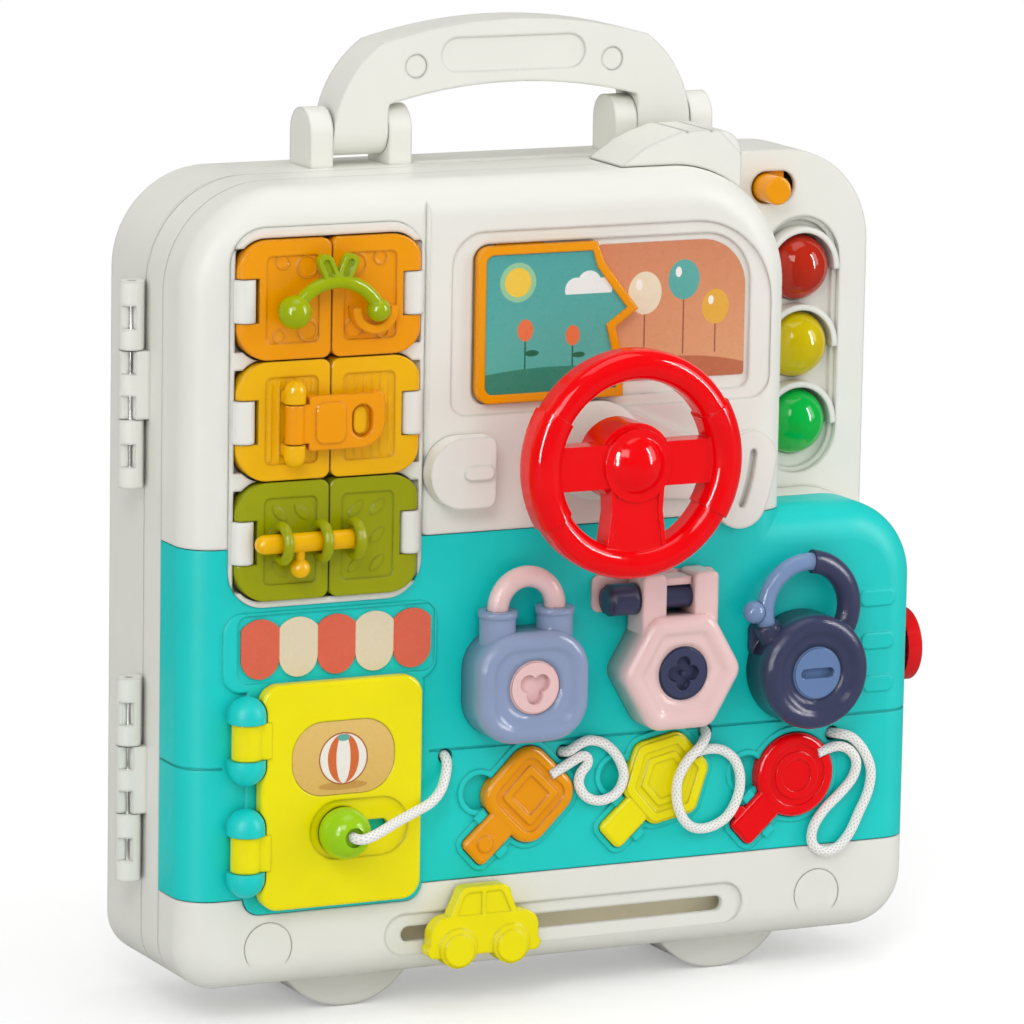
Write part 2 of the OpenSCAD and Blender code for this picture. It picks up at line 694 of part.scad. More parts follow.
// one door leaf; s is -1 on the left and 1 on the right
module leaf(k, s) {
    z0 = row_z + k * row_h + 0.3;
    z1 = row_z + (k + 1) * row_h - 0.3;
    x_axis = door_reach;
    translate([door_x, 0, 0]) mirror([s < 0 ? 1 : 0, 0, 0]) {
        difference() {
            intersection() {
                plate(leaf_y0, leaf_y1) corners(0.3, x_axis + leaf_t / 2, z0, z1, [3, leaf_r, leaf_r, 3]);
                union() {
                    block(0, x_axis, leaf_y0 - 1, leaf_y1 + 1, z0, z1);
                    bar_z(x_axis, axis_y, z0, z1, leaf_t / 2);
                }
            }
            plate(leaf_y0 - 1, leaf_y1 + 1) translate([x_axis - knuckle_r - 0.5, row_mid(k) - barrel_half - fit])
                square([20, 2 * barrel_half + 2 * fit]);
            plate(leaf_y0 - 1, leaf_y0 + 0.6) rounded(4.6, x_axis - 7, z0 + 5.4, z1 - 5.4, 2);
        }
        for (e = [-1, 1]) bar_z(x_axis, axis_y, row_mid(k) + e * (barrel_half + fit + 0.5) - 2.2,
            row_mid(k) + e * (barrel_half + fit + 0.5) + 2.2, 1.4);
        leaf_relief(k, z0, z1);
    }
}
// moulded fields: rings, flutes and leaves
module leaf_relief(k, z0, z1) {
    y = leaf_y0 + 0.7;
    if (k == 2) for (p = [[8.6, 9.4, 3.6], [19, 7.8, 2.4], [9, 31, 3.9], [18, 33, 2.6]])
        turned(p[0], z0 + p[1], y) translate([p[2] - 0.5, 0]) square([0.5, 0.5]);
    if (k == 1) for (j = [0:5]) bar_z(6.4 + 3.1 * j, y + 0.3, z0 + 6.4, z1 - 6.4, 0.8);
    if (k == 0) for (j = [0:2]) for (i = [0:1]) plate(y - 0.4, y + 0.1) translate([10 + 8 * i, z0 + 10.4 + 9.6 * j])
        intersection() {
            translate([-2.4, 2.4]) circle(5);
            translate([2.4, -2.4]) circle(5);
        }
}

// the C-shaped catch of the swing latch
swing_pivot_x = -106.5;
swing_pivot_z = 248.2;
swing_end_x = -75.7;
swing_end_z = 247.4;
swing_y = leaf_y0 - 6;
catch_r = 8.4;
module swing_catch() difference() {
    turned(swing_end_x, swing_end_z, leaf_y0 + 0.5) translate([5.4, 0]) square([catch_r - 5.4, 4.8]);
    // open at the top, where the latch swings in
    block(swing_end_x - 20, swing_end_x + 20, leaf_y0 - 10, leaf_y0 + 1, swing_end_z + 0.7, swing_end_z + 20);
}

hasp_x = -105.2;
hasp_z = 210;
hasp_y = leaf_y0 - 4.2;
hasp_pin_r = 1.5;
cap_r = 3.7;
cap_z = 9.05;
cap_half = 2.05;
post_x = -81;
bolt_y = leaf_y0 - 5.8;
bolt_z = 169.9;
ring_r = 5.7;
bolt_rings = [-110, -95.4];
catch_ring = -83.2;
ring_t = 1.8;
module bolt_ring(x) translate([x, bolt_y, bolt_z]) rotate([0, 90, 0]) rotate_extrude() translate([ring_r, 0]) circle(ring_t);
module ring_foot(x) intersection() {
    bolt_ring(x);
    block(x - 5, x + 5, bolt_y - 20, leaf_y0 + 2.4, bolt_z - 20, bolt_z + 20);
}

module door_top_left() color("orange") placed() difference() {
    leaf(2, -1);
    bar_y(swing_pivot_x, swing_pivot_z, leaf_y0 - 1, leaf_y1 + 1, 2 + slip);
}
module door_top_right() color("orange") placed() {
    leaf(2, 1);
    swing_catch();
}
module door_middle_left() color("gold") placed() {
    leaf(1, -1);
    // capped brackets of the hasp
    for (e = [-1, 1]) difference() {
        union() {
            bar_z(hasp_x, hasp_y, hasp_z + e * cap_z - cap_half, hasp_z + e * cap_z + cap_half, cap_r);
            translate([hasp_x, hasp_y, hasp_z + e * (cap_z + cap_half)]) sphere(cap_r);
            block(hasp_x - cap_r + 0.5, hasp_x + cap_r - 0.5, hasp_y, leaf_y0 + 0.5,
                hasp_z + e * cap_z - cap_half, hasp_z + e * cap_z + cap_half);
        }
        bar_z(hasp_x, hasp_y, hasp_z + e * 8.6 - 1.8, hasp_z + e * 8.6 + 1.8, hasp_pin_r + slip);
    }
}
module door_middle_right() color("gold") placed() {
    leaf(1, 1);
    plate(leaf_y0 - 4.1, leaf_y0 + 1) stadium(post_x - 2.4, post_x + 2.4, hasp_z - 4.7, hasp_z + 4.7);
}
module door_bottom_left() color("olive") placed() {
    leaf(0, -1);
    for (x = bolt_rings) ring_foot(x);
}
module door_bottom_right() color("olive") placed() {
    leaf(0, 1);
    ring_foot(catch_ring);
}

// arched latch with a ball at each end and two small ears
arch_rise = 9.6;
arch_half = (swing_end_x - swing_pivot_x) / 2;
arch_r = (arch_half * arch_half + arch_rise * arch_rise) / (2 * arch_rise);
arch_a = asin(arch_half / arch_r);
arch_z = swing_pivot_z + arch_rise - arch_r;
module swing_latch() color("yellowgreen") placed() {
    translate([swing_pivot_x, swing_y - 0.1, swing_pivot_z]) rotate([90, 90, 0]) sphere(5.7);
    translate([swing_end_x, swing_y, swing_end_z]) rotate([90, 90, 0]) sphere(4);
    bar_y(swing_pivot_x, swing_pivot_z, swing_y, leaf_y1 + 1.2, 2);
    translate([swing_pivot_x + arch_half, swing_y, arch_z]) rotate([90, 0, 0]) rotate([0, 0, 90 - arch_a])
        rotate_extrude(angle = 2 * arch_a) translate([arch_r, 0]) rotate([0, 0, 180]) circle(2.35);
    for (s = [-1, 1]) difference() {
        plate(swing_y - 1.6, swing_y + 1.6) latch_ear(s, 2.7, 5);
        plate(swing_y - 2, swing_y - 0.6) latch_ear(s, 1.2, 3.2);
    }
}
// one of two long ears in a V, half w by h
module latch_ear(s, w, h) translate([swing_pivot_x + arch_half + 3.6 * s, arch_z + arch_r + 4.6]) rotate([0, 0, -24 * s])
    stadium(-w, w, -h, h);

hasp_w = 18.4;
module hasp() color("darkorange") placed() difference() {
    union() {
        bar_z(hasp_x, hasp_y, hasp_z - 6.6, hasp_z + 6.6, 3.3);
        block(hasp_x, hasp_x + 6, hasp_y - 1.7, hasp_y + 1.3, hasp_z - 6.6, hasp_z + 6.6);
        plate(hasp_y - 1.7, hasp_y + 1.3) corners(hasp_x + 4.7, hasp_x + 32.6, hasp_z - hasp_w / 2, hasp_z + hasp_w / 2, [1, 9, 4, 1]);
        bar_y(hasp_x + 30, hasp_z + hasp_w / 2 - 1.6, hasp_y - 1.7, hasp_y + 1.3, 2.3);
        bar_z(hasp_x, hasp_y, hasp_z - 10, hasp_z + 10, hasp_pin_r);
        plate(hasp_y - 2.3, hasp_y) rounded(hasp_x + 7, hasp_x + 18, hasp_z - 7, hasp_z + 7, 3);
    }
    plate(hasp_y - 4, hasp_y + 4) stadium(post_x - 3.9, post_x + 3.9, hasp_z - 5.7, hasp_z + 5.7);
}

bolt_r = 3.3;
bolt_x0 = -118.5;
bolt_x1 = -84.4;
bolt_knob_x = -103.3;
module slide_bolt() color("goldenrod") placed() {
    bar_x(bolt_x0 + 2, bolt_x1, bolt_y, bolt_z, bolt_r);
    translate([bolt_x0 + 2, bolt_y, bolt_z]) rotate([0, 90, 0]) sphere(bolt_r);
    bar_z(bolt_knob_x, bolt_y, bolt_z - 7, bolt_z, 1.6);
    translate([bolt_knob_x, bolt_y, bolt_z - 8.8]) sphere(3.4);
}

/* ---- awning panel and hatch ---- */

awning_x0 = -121;
awning_x1 = -50.6;
awning_z0 = 122;
awning_z1 = 142.6;
scallops = 5;
scallop_r = (awning_x1 - awning_x0) / (2 * scallops);
scallop_top = 9;
module awning_label() color("tomato") placed() plate(-1.1, -0.3)
    for (k = [0:scallops - 1]) translate([awning_x0 + (2 * k + 1) * scallop_r, 0]) scallop();
// one stripe, rounded at both ends
module scallop() intersection() {
    union() {
        translate([0, awning_z0 + scallop_r]) circle(scallop_r);
        translate([-scallop_r, awning_z0 + scallop_r]) square([2 * scallop_r, awning_z1 - awning_z0 - scallop_r]);
    }
    union() {
        translate([0, awning_z1 - scallop_top]) circle(scallop_top);
        translate([-scallop_r, awning_z0 - 1]) square([2 * scallop_r, awning_z1 - awning_z0 - scallop_top + 1]);
    }
}

panel_z0 = hatch_z - 2.1;
panel_z1 = hatch_z + hatch_h + 1.5;
hatch_front = 6.5;
hatch_back = hatch_front - hatch_t;
hatch_axis_x = hatch_x - 4.7;
hatch_axis_y = -4.2;
strap_r = 5.2;
strap_h = 12.4;
strap_zs = [hatch_z + 14.6, hatch_z + 53.4];
lug_r = 6.6;
lug_h = 2.4;
hole_x = hatch_x + 30.1;
hole_z = hatch_z + 25.9;
hole_r = 8.6;
label_x = hatch_x + 30.2;
label_z = hatch_z + 51.7;
bead_r = 8.9;
bead_at = [-87, -12.6, 69.1];

// fixed knuckles above and below one strap, with stub pins
module hatch_lugs(z) {
    for (e = [z - lug_h - 0.2, z + strap_h + 0.2]) bar_z(hatch_axis_x, hatch_axis_y, e, e + lug_h, lug_r);
    lug_domes(z, lug_r);
    bar_z(hatch_axis_x, hatch_axis_y, z - 1, z + 3, 1.8);
    bar_z(hatch_axis_x, hatch_axis_y, z + strap_h - 3, z + strap_h + 1, 1.8);
}
module lug_domes(z, r) for (up = [0, 1]) translate([hatch_axis_x, hatch_axis_y, up == 1 ? z + strap_h + lug_h + 0.2 : z - lug_h - 0.2])
    mirror([0, 0, 1 - up]) rotate_extrude() soft_profile(r, r, r);
module strap_clearance(z) {
    bar_z(hatch_axis_x, hatch_axis_y, z - 0.2, z + strap_h + 0.2, strap_r + 0.4);
    block(hatch_axis_x, hatch_x + 6, -4, 0.3, z - 0.4, z + strap_h + 0.4);
}
label_half_w = 18.6;
label_half_h = 12.4;
module hatch_oval(grow) rounded(label_x - label_half_w - grow, label_x + label_half_w + grow,
    label_z - label_half_h - grow, label_z + label_half_h + grow, label_half_h - 1.2 + grow);
module hatch() color("yellow") placed() difference() {
    union() {
        difference() {
            raised_slab(hatch_x, hatch_x + hatch_w, hatch_z, hatch_z + hatch_h, 7, 1.4, hatch_front, -hatch_back);
            // clear of the fixed knuckles
            for (z = strap_zs) {
                bar_z(hatch_axis_x, hatch_axis_y, z - lug_h - 0.2, z + strap_h + lug_h + 0.2, lug_r + 0.4);
                lug_domes(z, lug_r + 0.4);
            }
        }
        for (z = strap_zs) difference() {
            union() {
                bar_z(hatch_axis_x, hatch_axis_y, z, z + strap_h, strap_r);
                block(hatch_axis_x, hatch_x + 3.4, -hatch_front - 0.8, -hatch_back, z, z + strap_h);
            }
            block(hatch_x + 2, hatch_x + 20, -hatch_back, 20, z - 1, z + strap_h + 1);
        }
    }
    for (z = strap_zs) bar_z(hatch_axis_x, hatch_axis_y, z - 1, z + strap_h + 1, 1.9);
    plate(-hatch_front - 1, -hatch_front + 0.8) hatch_oval(0.5);
    // sunk keyhole for the bead
    plate(-hatch_front - 1, -hatch_front + 1) stadium(hole_x - 12, hole_x + 24.6, hole_z - 9.6, hole_z + 11);
    bar_y(hole_x, hole_z, -20, 0, hole_r);
    plate(-20, 0) stadium(hole_x - 2, hole_x + 18, hole_z - 3.1, hole_z + 3.1);
    translate(bead_at) sphere(bead_r + 0.02);
}
module hatch_label() color("white") placed() plate(-hatch_front + 0.2, -hatch_front + 0.8) hatch_oval(0.3);

/* ---- cords ---- */

cord_r = 1.75;
cord_sides = 8;
route_bead = [
    [-44, 4, 89.7], [-44, 0.6, 89.7], [-44.3, -2.2, 87.6], [-45.6, -3.6, 83.2], [-48.6, -6.4, 79.2], [-53.4, -8.9, 76],
    [-58.8, -10.6, 74.2], [-64.6, -13.4, 73], [-70.6, -17.2, 72.1], [-76.4, -21, 71.1], [-81.4, -23.7, 70.1],
    [-84.8, -24.4, 69.4], [-86.6, -23.2, 69.1], [-87, -21, 69.1], [-87, -15, 69.1]
];
route_square = [
    [1, 4, 87.4], [1, 0.6, 87.4], [2.4, -2.2, 88.2], [6, -2.6, 90.4], [10, -2.6, 91.4], [15.6, -2.6, 89.8], [20.6, -2.6, 85],
    [23.4, -2.6, 78.4], [21.6, -2.6, 72.8], [17.6, -2.6, 70.2], [13, -2.6, 69.8], [8.6, -2.6, 71.8], [6, -2.6, 76.2], [6.8, -2.6, 80.2],
    [9, -2.6, 82.6], [9.4, -2.6, 85], [7.4, -2.6, 86.2], [4.4, -2.6, 85], [0.6, -2.8, 83.2], [-5, -2.8, 80.4]
];
route_hexagon = [
    [56.1, 4, 90.8], [56.1, 0.6, 90.8], [55, -3, 89.6], [51.4, -5.7, 86.4], [46.6, -5.8, 82], [43, -5.8, 75.6],
    [42.6, -5.8, 68.4], [44.6, -5.8, 62.4], [48.2, -4.8, 58.4], [53.4, -2.9, 56.4], [59.2, -2.6, 57], [64.8, -2.6, 60.4],
    [68.4, -2.6, 67], [69, -2.6, 74], [66.6, -2.6, 80], [62, -2.6, 83.6], [57.2, -2.6, 84.6], [52.6, -2.4, 84], [48.4, -2.4, 82.6]
];
route_round = [
    [106.5, 4, 85.7], [106.5, 0.6, 85.7], [108.2, -2.2, 85.8], [113, -2.6, 84.2], [117.8, -2.6, 79.2], [121, -2.6, 72],
    [120.2, -2.6, 64.4], [116.8, -2.6, 57], [113.2, -2.6, 49.8], [108.6, -2.6, 45], [103, -2.6, 43.8], [98.4, -2.6, 47],
    [98.6, -2.6, 53], [103, -2.6, 59.2], [109, -2.6, 64.4], [113.8, -2.6, 69.6], [115.2, -2.6, 75], [112.6, -2.6, 79.4],
    [108.2, -2.6, 81.4], [103.6, -2.4, 80.8], [99.6, -2.4, 79.4]
];
function unit(v) = v / norm(v);
function at_end(p, i, d) = i + d < 0 || i + d >= len(p) ? [0, 0, 0] : d * unit(p[i + d] - p[i]);
function tangents(p) = [for (i = [0:len(p) - 1]) unit(at_end(p, i, 1) + at_end(p, i, -1))];
function carried(t, n, i) = i == len(t) ? [] : let (m = unit(n - (n * t[i]) * t[i])) concat([m], carried(t, m, i + 1));
module cord(p, r) {
    t = tangents(p);
    n = carried(t, [1, 0, 0], 0);
    s = cord_sides;
    rings = [for (i = [0:len(p) - 1]) for (j = [0:s - 1])
        p[i] + r * (cos(360 * j / s) * n[i] + sin(360 * j / s) * cross(t[i], n[i]))];
    walls = [for (i = [0:len(p) - 2]) for (j = [0:s - 1])
        [i * s + j, (i + 1) * s + j, (i + 1) * s + (j + 1) % s, i * s + (j + 1) % s]];
    polyhedron(points = rings, faces = concat(walls, [[for (j = [0:s - 1]) j],
        [for (j = [s - 1:-1:0]) (len(p) - 1) * s + j]]));
}
module bead_cord() color("beige") placed() cord(route_bead, cord_r);
module cord_square() color("ivory") placed() cord(route_square, cord_r);
module cord_hexagon() color("ivory") placed() cord(route_hexagon, cord_r);
module cord_round() color("ivory") placed() cord(route_round, cord_r);
cord_starts = [route_bead[0], route_square[0], route_hexagon[0], route_round[0]];

module bead() color("greenyellow") placed() difference() {
    translate(bead_at) sphere(bead_r);
    bar_y(bead_at[0], bead_at[2], bead_at[1] - 2 * bead_r, bead_at[1] - 2, cord_r + slip);
    bar_y(bead_at[0], bead_at[2], bead_at[1] - 2 * bead_r, bead_at[1] - 6.4, 3.4);
}

/* ---- window ---- */

tile_points = [
    [tile_x0, tile_z0], [20.4, tile_z0], [19.8, 225], [17, 235.4], [25.6, 241.5], [12.6, 258], [9.6, tile_z1], [tile_x0, tile_z1]
];
tile_inner = [
    [tile_x0 + 3, tile_z0 + 3], [17.6, tile_z0 + 3], [17, 224], [13.6, 236.6], [21.4, 242], [10, 256.4], [8, tile_z1 - 3],
    [tile_x0 + 3, tile_z1 - 3]
];
tile_travel = 42;
module window_tile() color("orange") placed() difference() {
    union() {
        plate(-2, 1.6) tile_outline(tile_points, 5, 0);
        // tongues that run behind the lips of the window frame
        block(tile_x0 + 8, tile_x0 + 26, 1, 2.2, tile_z0, tile_z0 + 1.2);
        block(tile_x0 + 8, tile_x0 + 26, 1, 2.2, tile_z1 - 1.2, tile_z1);
        block(tile_x0 + 8, tile_x0 + 26, 1.7, 2.2, tile_z0 - 2.4, tile_z0 + 1);
        block(tile_x0 + 8, tile_x0 + 26, 1.7, 2.2, tile_z1 - 1, tile_z1 + 2.4);
    }
    plate(-3, -1) tile_outline(tile_inner, 3, 0);
}
module tile_outline(p, r, t) difference() {
    polygon(p);
    for (e = [1, 7]) tile_corner(p[e == 1 ? 0 : 7], r, e == 1 ? 1 : -1);
}
// takes the square corner off an outline, leaving a radius
module tile_corner(p, r, up) difference() {
    translate([p[0] - 1, up > 0 ? p[1] - 1 : p[1] - r]) square([r + 1, r + 1]);
    translate([p[0] + r, p[1] + up * r]) circle(r);
}
module tile_picture() color("cadetblue") placed() plate(-1.4, -1) tile_outline(tile_inner, 3, 0);
module window_picture() color("darksalmon") placed() plate(1.9, 2.3) corners(12.5, 68.8, tile_z0 + 4.3, tile_z1 - 1.8, [1, 1, 17, 1]);

/* ---- steering wheel and dash knob ---- */

base_t = 2.5;
dish_r = 17.2;
lobe_r = 60;
lobe_a = [-6.5, -20.5];
function polar(r, a) = [r * cos(a), r * sin(a)];
module arc_band(r, w, a0, a1) {
    intersection() {
        difference() {
            circle(r + w / 2, $fn = 128);
            circle(r - w / 2, $fn = 128);
        }
        polygon([[0, 0], polar(1.3 * r, a0), polar(1.3 * r, a1)]);
    }
    for (a = [a0, a1]) translate(polar(r, a)) circle(w / 2);
}
module steering_base() color("white") placed() difference() {
    union() {
        plate(-base_t, 0) translate([wheel_x, wheel_z]) {
            circle(dish_r);
            arc_band(lobe_r, 20, lobe_a[0], lobe_a[1]);
            polygon([polar(dish_r, 70), polar(dish_r, -110), polar(lobe_r, lobe_a[1]), polar(lobe_r, lobe_a[0])]);
        }
        turned(wheel_x, wheel_z) polygon([[0, 0], [dish_r, 0], [dish_r, base_t], [11.5, 14], [0, 14]]);
    }
    bar_y(wheel_x, wheel_z, -20, 4, 4);
    // sight slot on the lobe
    plate(-base_t - 1, 1) translate([wheel_x, wheel_z]) arc_band(60.8, 2.6, -4.2, -21.6);
}
module steering_spindle() color("white") placed() {
    bar_y(wheel_x, wheel_z, -24, 12.1, 3.9);
    bar_y(wheel_x, wheel_z, 12.1, 14.5, 7);
}
spoke_y0 = -33;
spoke_y1 = -25;
module steering_wheel() color("red") placed() difference() {
    union() {
        turned(wheel_x, wheel_z, -rim_out + rim_d) rounded(wheel_r - 2 * rim_r, wheel_r, 0, rim_d, rim_r - 0.01);
        // thicker grips on both sides
        for (a = [-31, 149]) translate([wheel_x, -rim_out + rim_d + 0.8, wheel_z]) rotate([90, 0, 0]) rotate([0, 0, a])
            rotate_extrude(angle = 62) rounded(wheel_r - 2 * rim_r - 0.8, wheel_r + 0.8, 0, rim_d + 1.6, rim_r + 0.7);
        plate(spoke_y0, spoke_y1) translate([wheel_x, wheel_z]) {
            translate([-wheel_r + rim_r, -7.6]) square([2 * (wheel_r - rim_r), 15.2]);
            low_spoke(0);
        }
        // raised border of the lower spoke
        plate(spoke_y0 - 0.7, spoke_y0 + 0.5) translate([wheel_x, wheel_z]) difference() {
            low_spoke(0);
            low_spoke(1.8);
        }
        turned(wheel_x, wheel_z) {
            translate([0, 16]) square([12.6, 18.2]);
            intersection() {
                translate([0, hub_out - 13.2]) circle(13.2);
                translate([0, 30]) square([10, 20]);
            }
        }
        bar_y(wheel_x, wheel_z, spoke_y1 - 6, -16, 14.2);
    }
    bar_y(wheel_x, wheel_z, -24, 0, 3.9 + press);
}
module low_spoke(t) polygon([
    [-10.5 + t, 0], [10.5 - t, 0], [9.6 - t, -16], [12.2 - t, -wheel_r + rim_r + t], [-12.2 + t, -wheel_r + rim_r + t], [-9.6 + t, -16]
]);
knob_r = 12.3;
module dash_knob() color("white") placed() {
    plate(-7.6, -0.2) translate([dash_x, dash_z]) union() {
        circle(knob_r);
        corners(0, knob_r, -knob_r, knob_r, [0.1, 3.5, 3.5, 0.1]);
    }
    plate(-9, -7) translate([dash_x, dash_z]) stadium(0, 11, -2.4, 2.4);
    bar_y(dash_x, dash_z, -1, 6, 3.9);
    bar_y(dash_x, dash_z, 2.3, 4.4, 5.4);
}

/* ---- sliding car ---- */

car_x0 = -52.6;
car_x1 = -9.9;
car_mid = (car_x0 + car_x1) / 2;
car_back = -1.6;
module toy_car() color("yellow") placed() {
    difference() {
        plate(-7.2, car_back) {
            corners(car_x0 + 1, car_x1 - 0.8, 20.6, 34.6, [3, 3, 5.5, 7]);
            for (x = [car_x0, car_x1 - 7]) rounded(x, x + 7, 20.2, 25.4, 2.5);
            polygon([
                [car_x0 + 7.6, 33], [car_x0 + 34.4, 33], [car_x0 + 30.9, 41.6], [car_x0 + 28, 44.5],
                [car_x0 + 15, 44.5], [car_x0 + 11.8, 42]
            ]);
            translate([car_x0 + 15, 41]) circle(3.5);
            translate([car_x0 + 27.6, 40.8]) circle(3.7);
        }
        plate(-8, -6.7) {
            polygon([[car_x0 + 11, 34.6], [car_x0 + 20.2, 34.6], [car_x0 + 20.2, 42.4], [car_x0 + 15, 42.4], [car_x0 + 13.4, 41]]);
            polygon([[car_x0 + 21.8, 34.6], [car_x0 + 31.4, 34.6], [car_x0 + 28.6, 41], [car_x0 + 27.4, 42.4], [car_x0 + 21.8, 42.4]]);
        }
    }
    for (x = [car_x0 + 11.3, car_x0 + 31.4]) {
        bar_y(x, 22.7, -9, car_back, 5.6);
        bar_y(x, 23.3, -8, car_back, 7);
    }
    plate(car_back - 0.2, 5.2) car_neck(0);
}
module car_neck(t) stadium(car_mid - 12 - t, car_mid + 12 + t, slot_z0 + slip - t, slot_z1 - slip + t);
module car_clip() color("white") placed() difference() {
    plate(3.5, 5.2) rounded(car_mid - 16, car_mid + 16, slot_z0 - 5, slot_z1 + 5, 2);
    plate(3, 6) car_neck(graze);
}

/* ---- padlocks ---- */

hexagon_x = 39.3;
hexagon_z = 115.3;
round_x = 91.9;
round_z = 111.3;
lock_points = [[lock_x, lock_z], [hexagon_x, hexagon_z], [round_x, round_z]];
lock_e = 5;
stud_r = 3;
core_floor = 6;
// stud that fixes a padlock to the panel
module lock_stud(p) bar_y(p[0], p[1], -1, 5, stud_r);
module core_well(p) bar_y(p[0], p[1], -lock_out - 5, -core_floor, core_r + slip);
module core_body(p, out) difference() {
    turned(p[0], p[1]) {
        translate([0, core_floor]) square([core_r, out - core_floor - 0.6]);
        translate([0, core_floor]) square([core_r - 0.6, out - core_floor]);
    }
    translate([0, -out - 1, 0]) mirror([0, 1, 0]) translate([0, -3.4, 0]) plate(0, 3.4) children();
}

square_z0 = 95.2;
square_h = 38.3;
leg_x = [-28.3, -6.7];
leg_y = -7;
collar_r = 6.8;
bow_z = 141.1;
module square_lock() color("lightsteelblue") placed() difference() {
    union() {
        raised_slab(lock_x - 20.8, lock_x - 20.8 + square_w, square_z0, square_z0 + square_h, 14, lock_e, lock_out, 0);
        // round collars with a lip
        for (x = leg_x) {
            bar_z(x, leg_y, square_z0 + square_h - 8, square_z0 + square_h + 7.4, collar_r - 0.5);
            bar_z(x, leg_y, square_z0 + square_h + 5.2, square_z0 + square_h + 7.4, collar_r);
        }
        lock_stud(lock_points[0]);
    }
    for (x = leg_x) bar_z(x, leg_y, square_z0 + 26.2, 150, shackle_r + slip);
    core_well(lock_points[0]);
    plate(-lock_out - 1, -lock_out + 0.8) difference() {
        rounded(lock_x - 14, lock_x + 14, lock_z - 14, lock_z + 14, 8);
        circle_at(lock_points[0], core_r + 2);
    }
}
module circle_at(p, r) translate(p) circle(r);
module square_shackle() color("mistyrose") placed() {
    for (x = leg_x) bar_z(x, leg_y, square_z0 + 26.5, bow_z, shackle_r);
    translate([(leg_x[0] + leg_x[1]) / 2, leg_y, bow_z]) rotate([90, 0, 0])
        rotate_extrude(angle = 180) translate([(leg_x[1] - leg_x[0]) / 2, 0]) circle(shackle_r);
}
module square_core() color("pink") placed() core_body(lock_points[0], lock_out + 0.4)
    for (a = [30, 150, 270]) translate([lock_x, lock_z]) translate(polar(2.9, a)) circle(3.1);

hexagon_r = 22;
hexagon_round = 6;
hasp_bolt_z = 141.2;
hasp_bolt_r = 4.2;
tab_r = 2.6;
module hexagon_shape(r, e) {
    polygon([for (i = [0:5]) for (d = [-30, 30]) polar(r - e, 60 * i) + polar(e, 60 * i + d)]);
    for (i = [0:5]) translate(polar(r - e, 60 * i)) circle(e + graze);
}
// a six-sided block of corner radius c, domed towards its corners
module hexagon_block(r, c, e, out, back) intersection() {
    union() {
        plate(-out, back) hexagon_shape(r - e, c - e);
        plate(e - out, back) hexagon_shape(r, c);
    }
    turned(0, 0, back) soft_profile(r + 1, (out + back) / 3, out + back);
}
module hexagon_lock() color("mistyrose") placed() difference() {
    union() {
        translate([hexagon_x, 0, hexagon_z]) hexagon_block(hexagon_r, hexagon_round, 1.2, lock_out, 0);
        for (x = [24.3, 44.3]) plate(-13, -1.2) rounded(x, x + 9, hexagon_z + 8, 150, 2);
        lock_stud(lock_points[1]);
    }
    bar_x(20, 60, leg_y, hasp_bolt_z, hasp_bolt_r + slip);
    core_well(lock_points[1]);
    plate(-lock_out - 1, -lock_out + 0.8) translate([hexagon_x, hexagon_z]) difference() {
        hexagon_shape(hexagon_r - 5.4, hexagon_round - 5.4);
        circle(core_r + 2);
    }
}
module hexagon_plate() color("mistyrose") placed() difference() {
    union() {
        plate(-1, 0) rounded(10.5, 58, 136, 149, tab_r);
        // hook over the bolt, open to the front
        plate(leg_y + hasp_bolt_r + 0.2, 0) rounded(33.8, 43.8, 136, 149.4, 2);
        block(33.8, 43.8, -11, 0, hasp_bolt_z + hasp_bolt_r + 0.3, 149.4 - 1);
    }
    bar_x(20, 60, leg_y, hasp_bolt_z, hasp_bolt_r + slip);
}
module hexagon_bolt() color("darkslateblue") placed() {
    bar_x(23, 44.8, leg_y, hasp_bolt_z, hasp_bolt_r);
    bar_x(14, 23.5, leg_y, hasp_bolt_z, 5.6);
    bar_x(12.5, 14.5, leg_y, hasp_bolt_z, 4.6);
}
module hexagon_core() color("midnightblue") placed() core_body(lock_points[1], lock_out + 0.4)
    for (a = [0:90:270]) translate([hexagon_x, hexagon_z]) translate(polar(3.3, a)) circle(2.7);

round_r = 20.1;
ring_x = 91.5;
ring_z = 133;
ring_reach = 16.5;
hoop_r = 3.1;
sleeve_r = 4.2;
module hoop(r, a0, a1) translate([ring_x, leg_y, ring_z]) rotate([90, 0, 0]) rotate([0, 0, a0])
    rotate_extrude(angle = a1 - a0) translate([ring_reach, 0]) circle(r);
module round_lock() color("slateblue") placed() difference() {
    union() {
        turned(round_x, round_z) soft_profile(round_r, lock_e, lock_out);
        hoop(sleeve_r, -30, 85);
        hoop(sleeve_r + 0.4, 196, 216);
        lock_stud(lock_points[2]);
        // web behind the free end
        plate(-3.4, 0) rounded(72, 80, 116, 128, 3);
    }
    hoop(hoop_r + slip, -42, 90);
    hoop(hoop_r + slip, 192, 204);
    core_well(lock_points[2]);
    turned(round_x, round_z) translate([13, lock_out - 0.7]) square([1.2, 2]);
}
module round_shackle() color("lightsteelblue") placed() {
    hoop(hoop_r, 56, 203);
    translate([ring_x - ring_reach - 4.2, leg_y, ring_z]) sphere(4);
    bar_x(ring_x - ring_reach - 4.2, ring_x - ring_reach, leg_y, ring_z, 2);
}
module round_core() color("lightsteelblue") placed() core_body(lock_points[2], lock_out + 0.4)
    stadium(round_x - 6.5, round_x + 6.5, round_z - 1.8, round_z + 1.8);

/* ---- keys ---- */

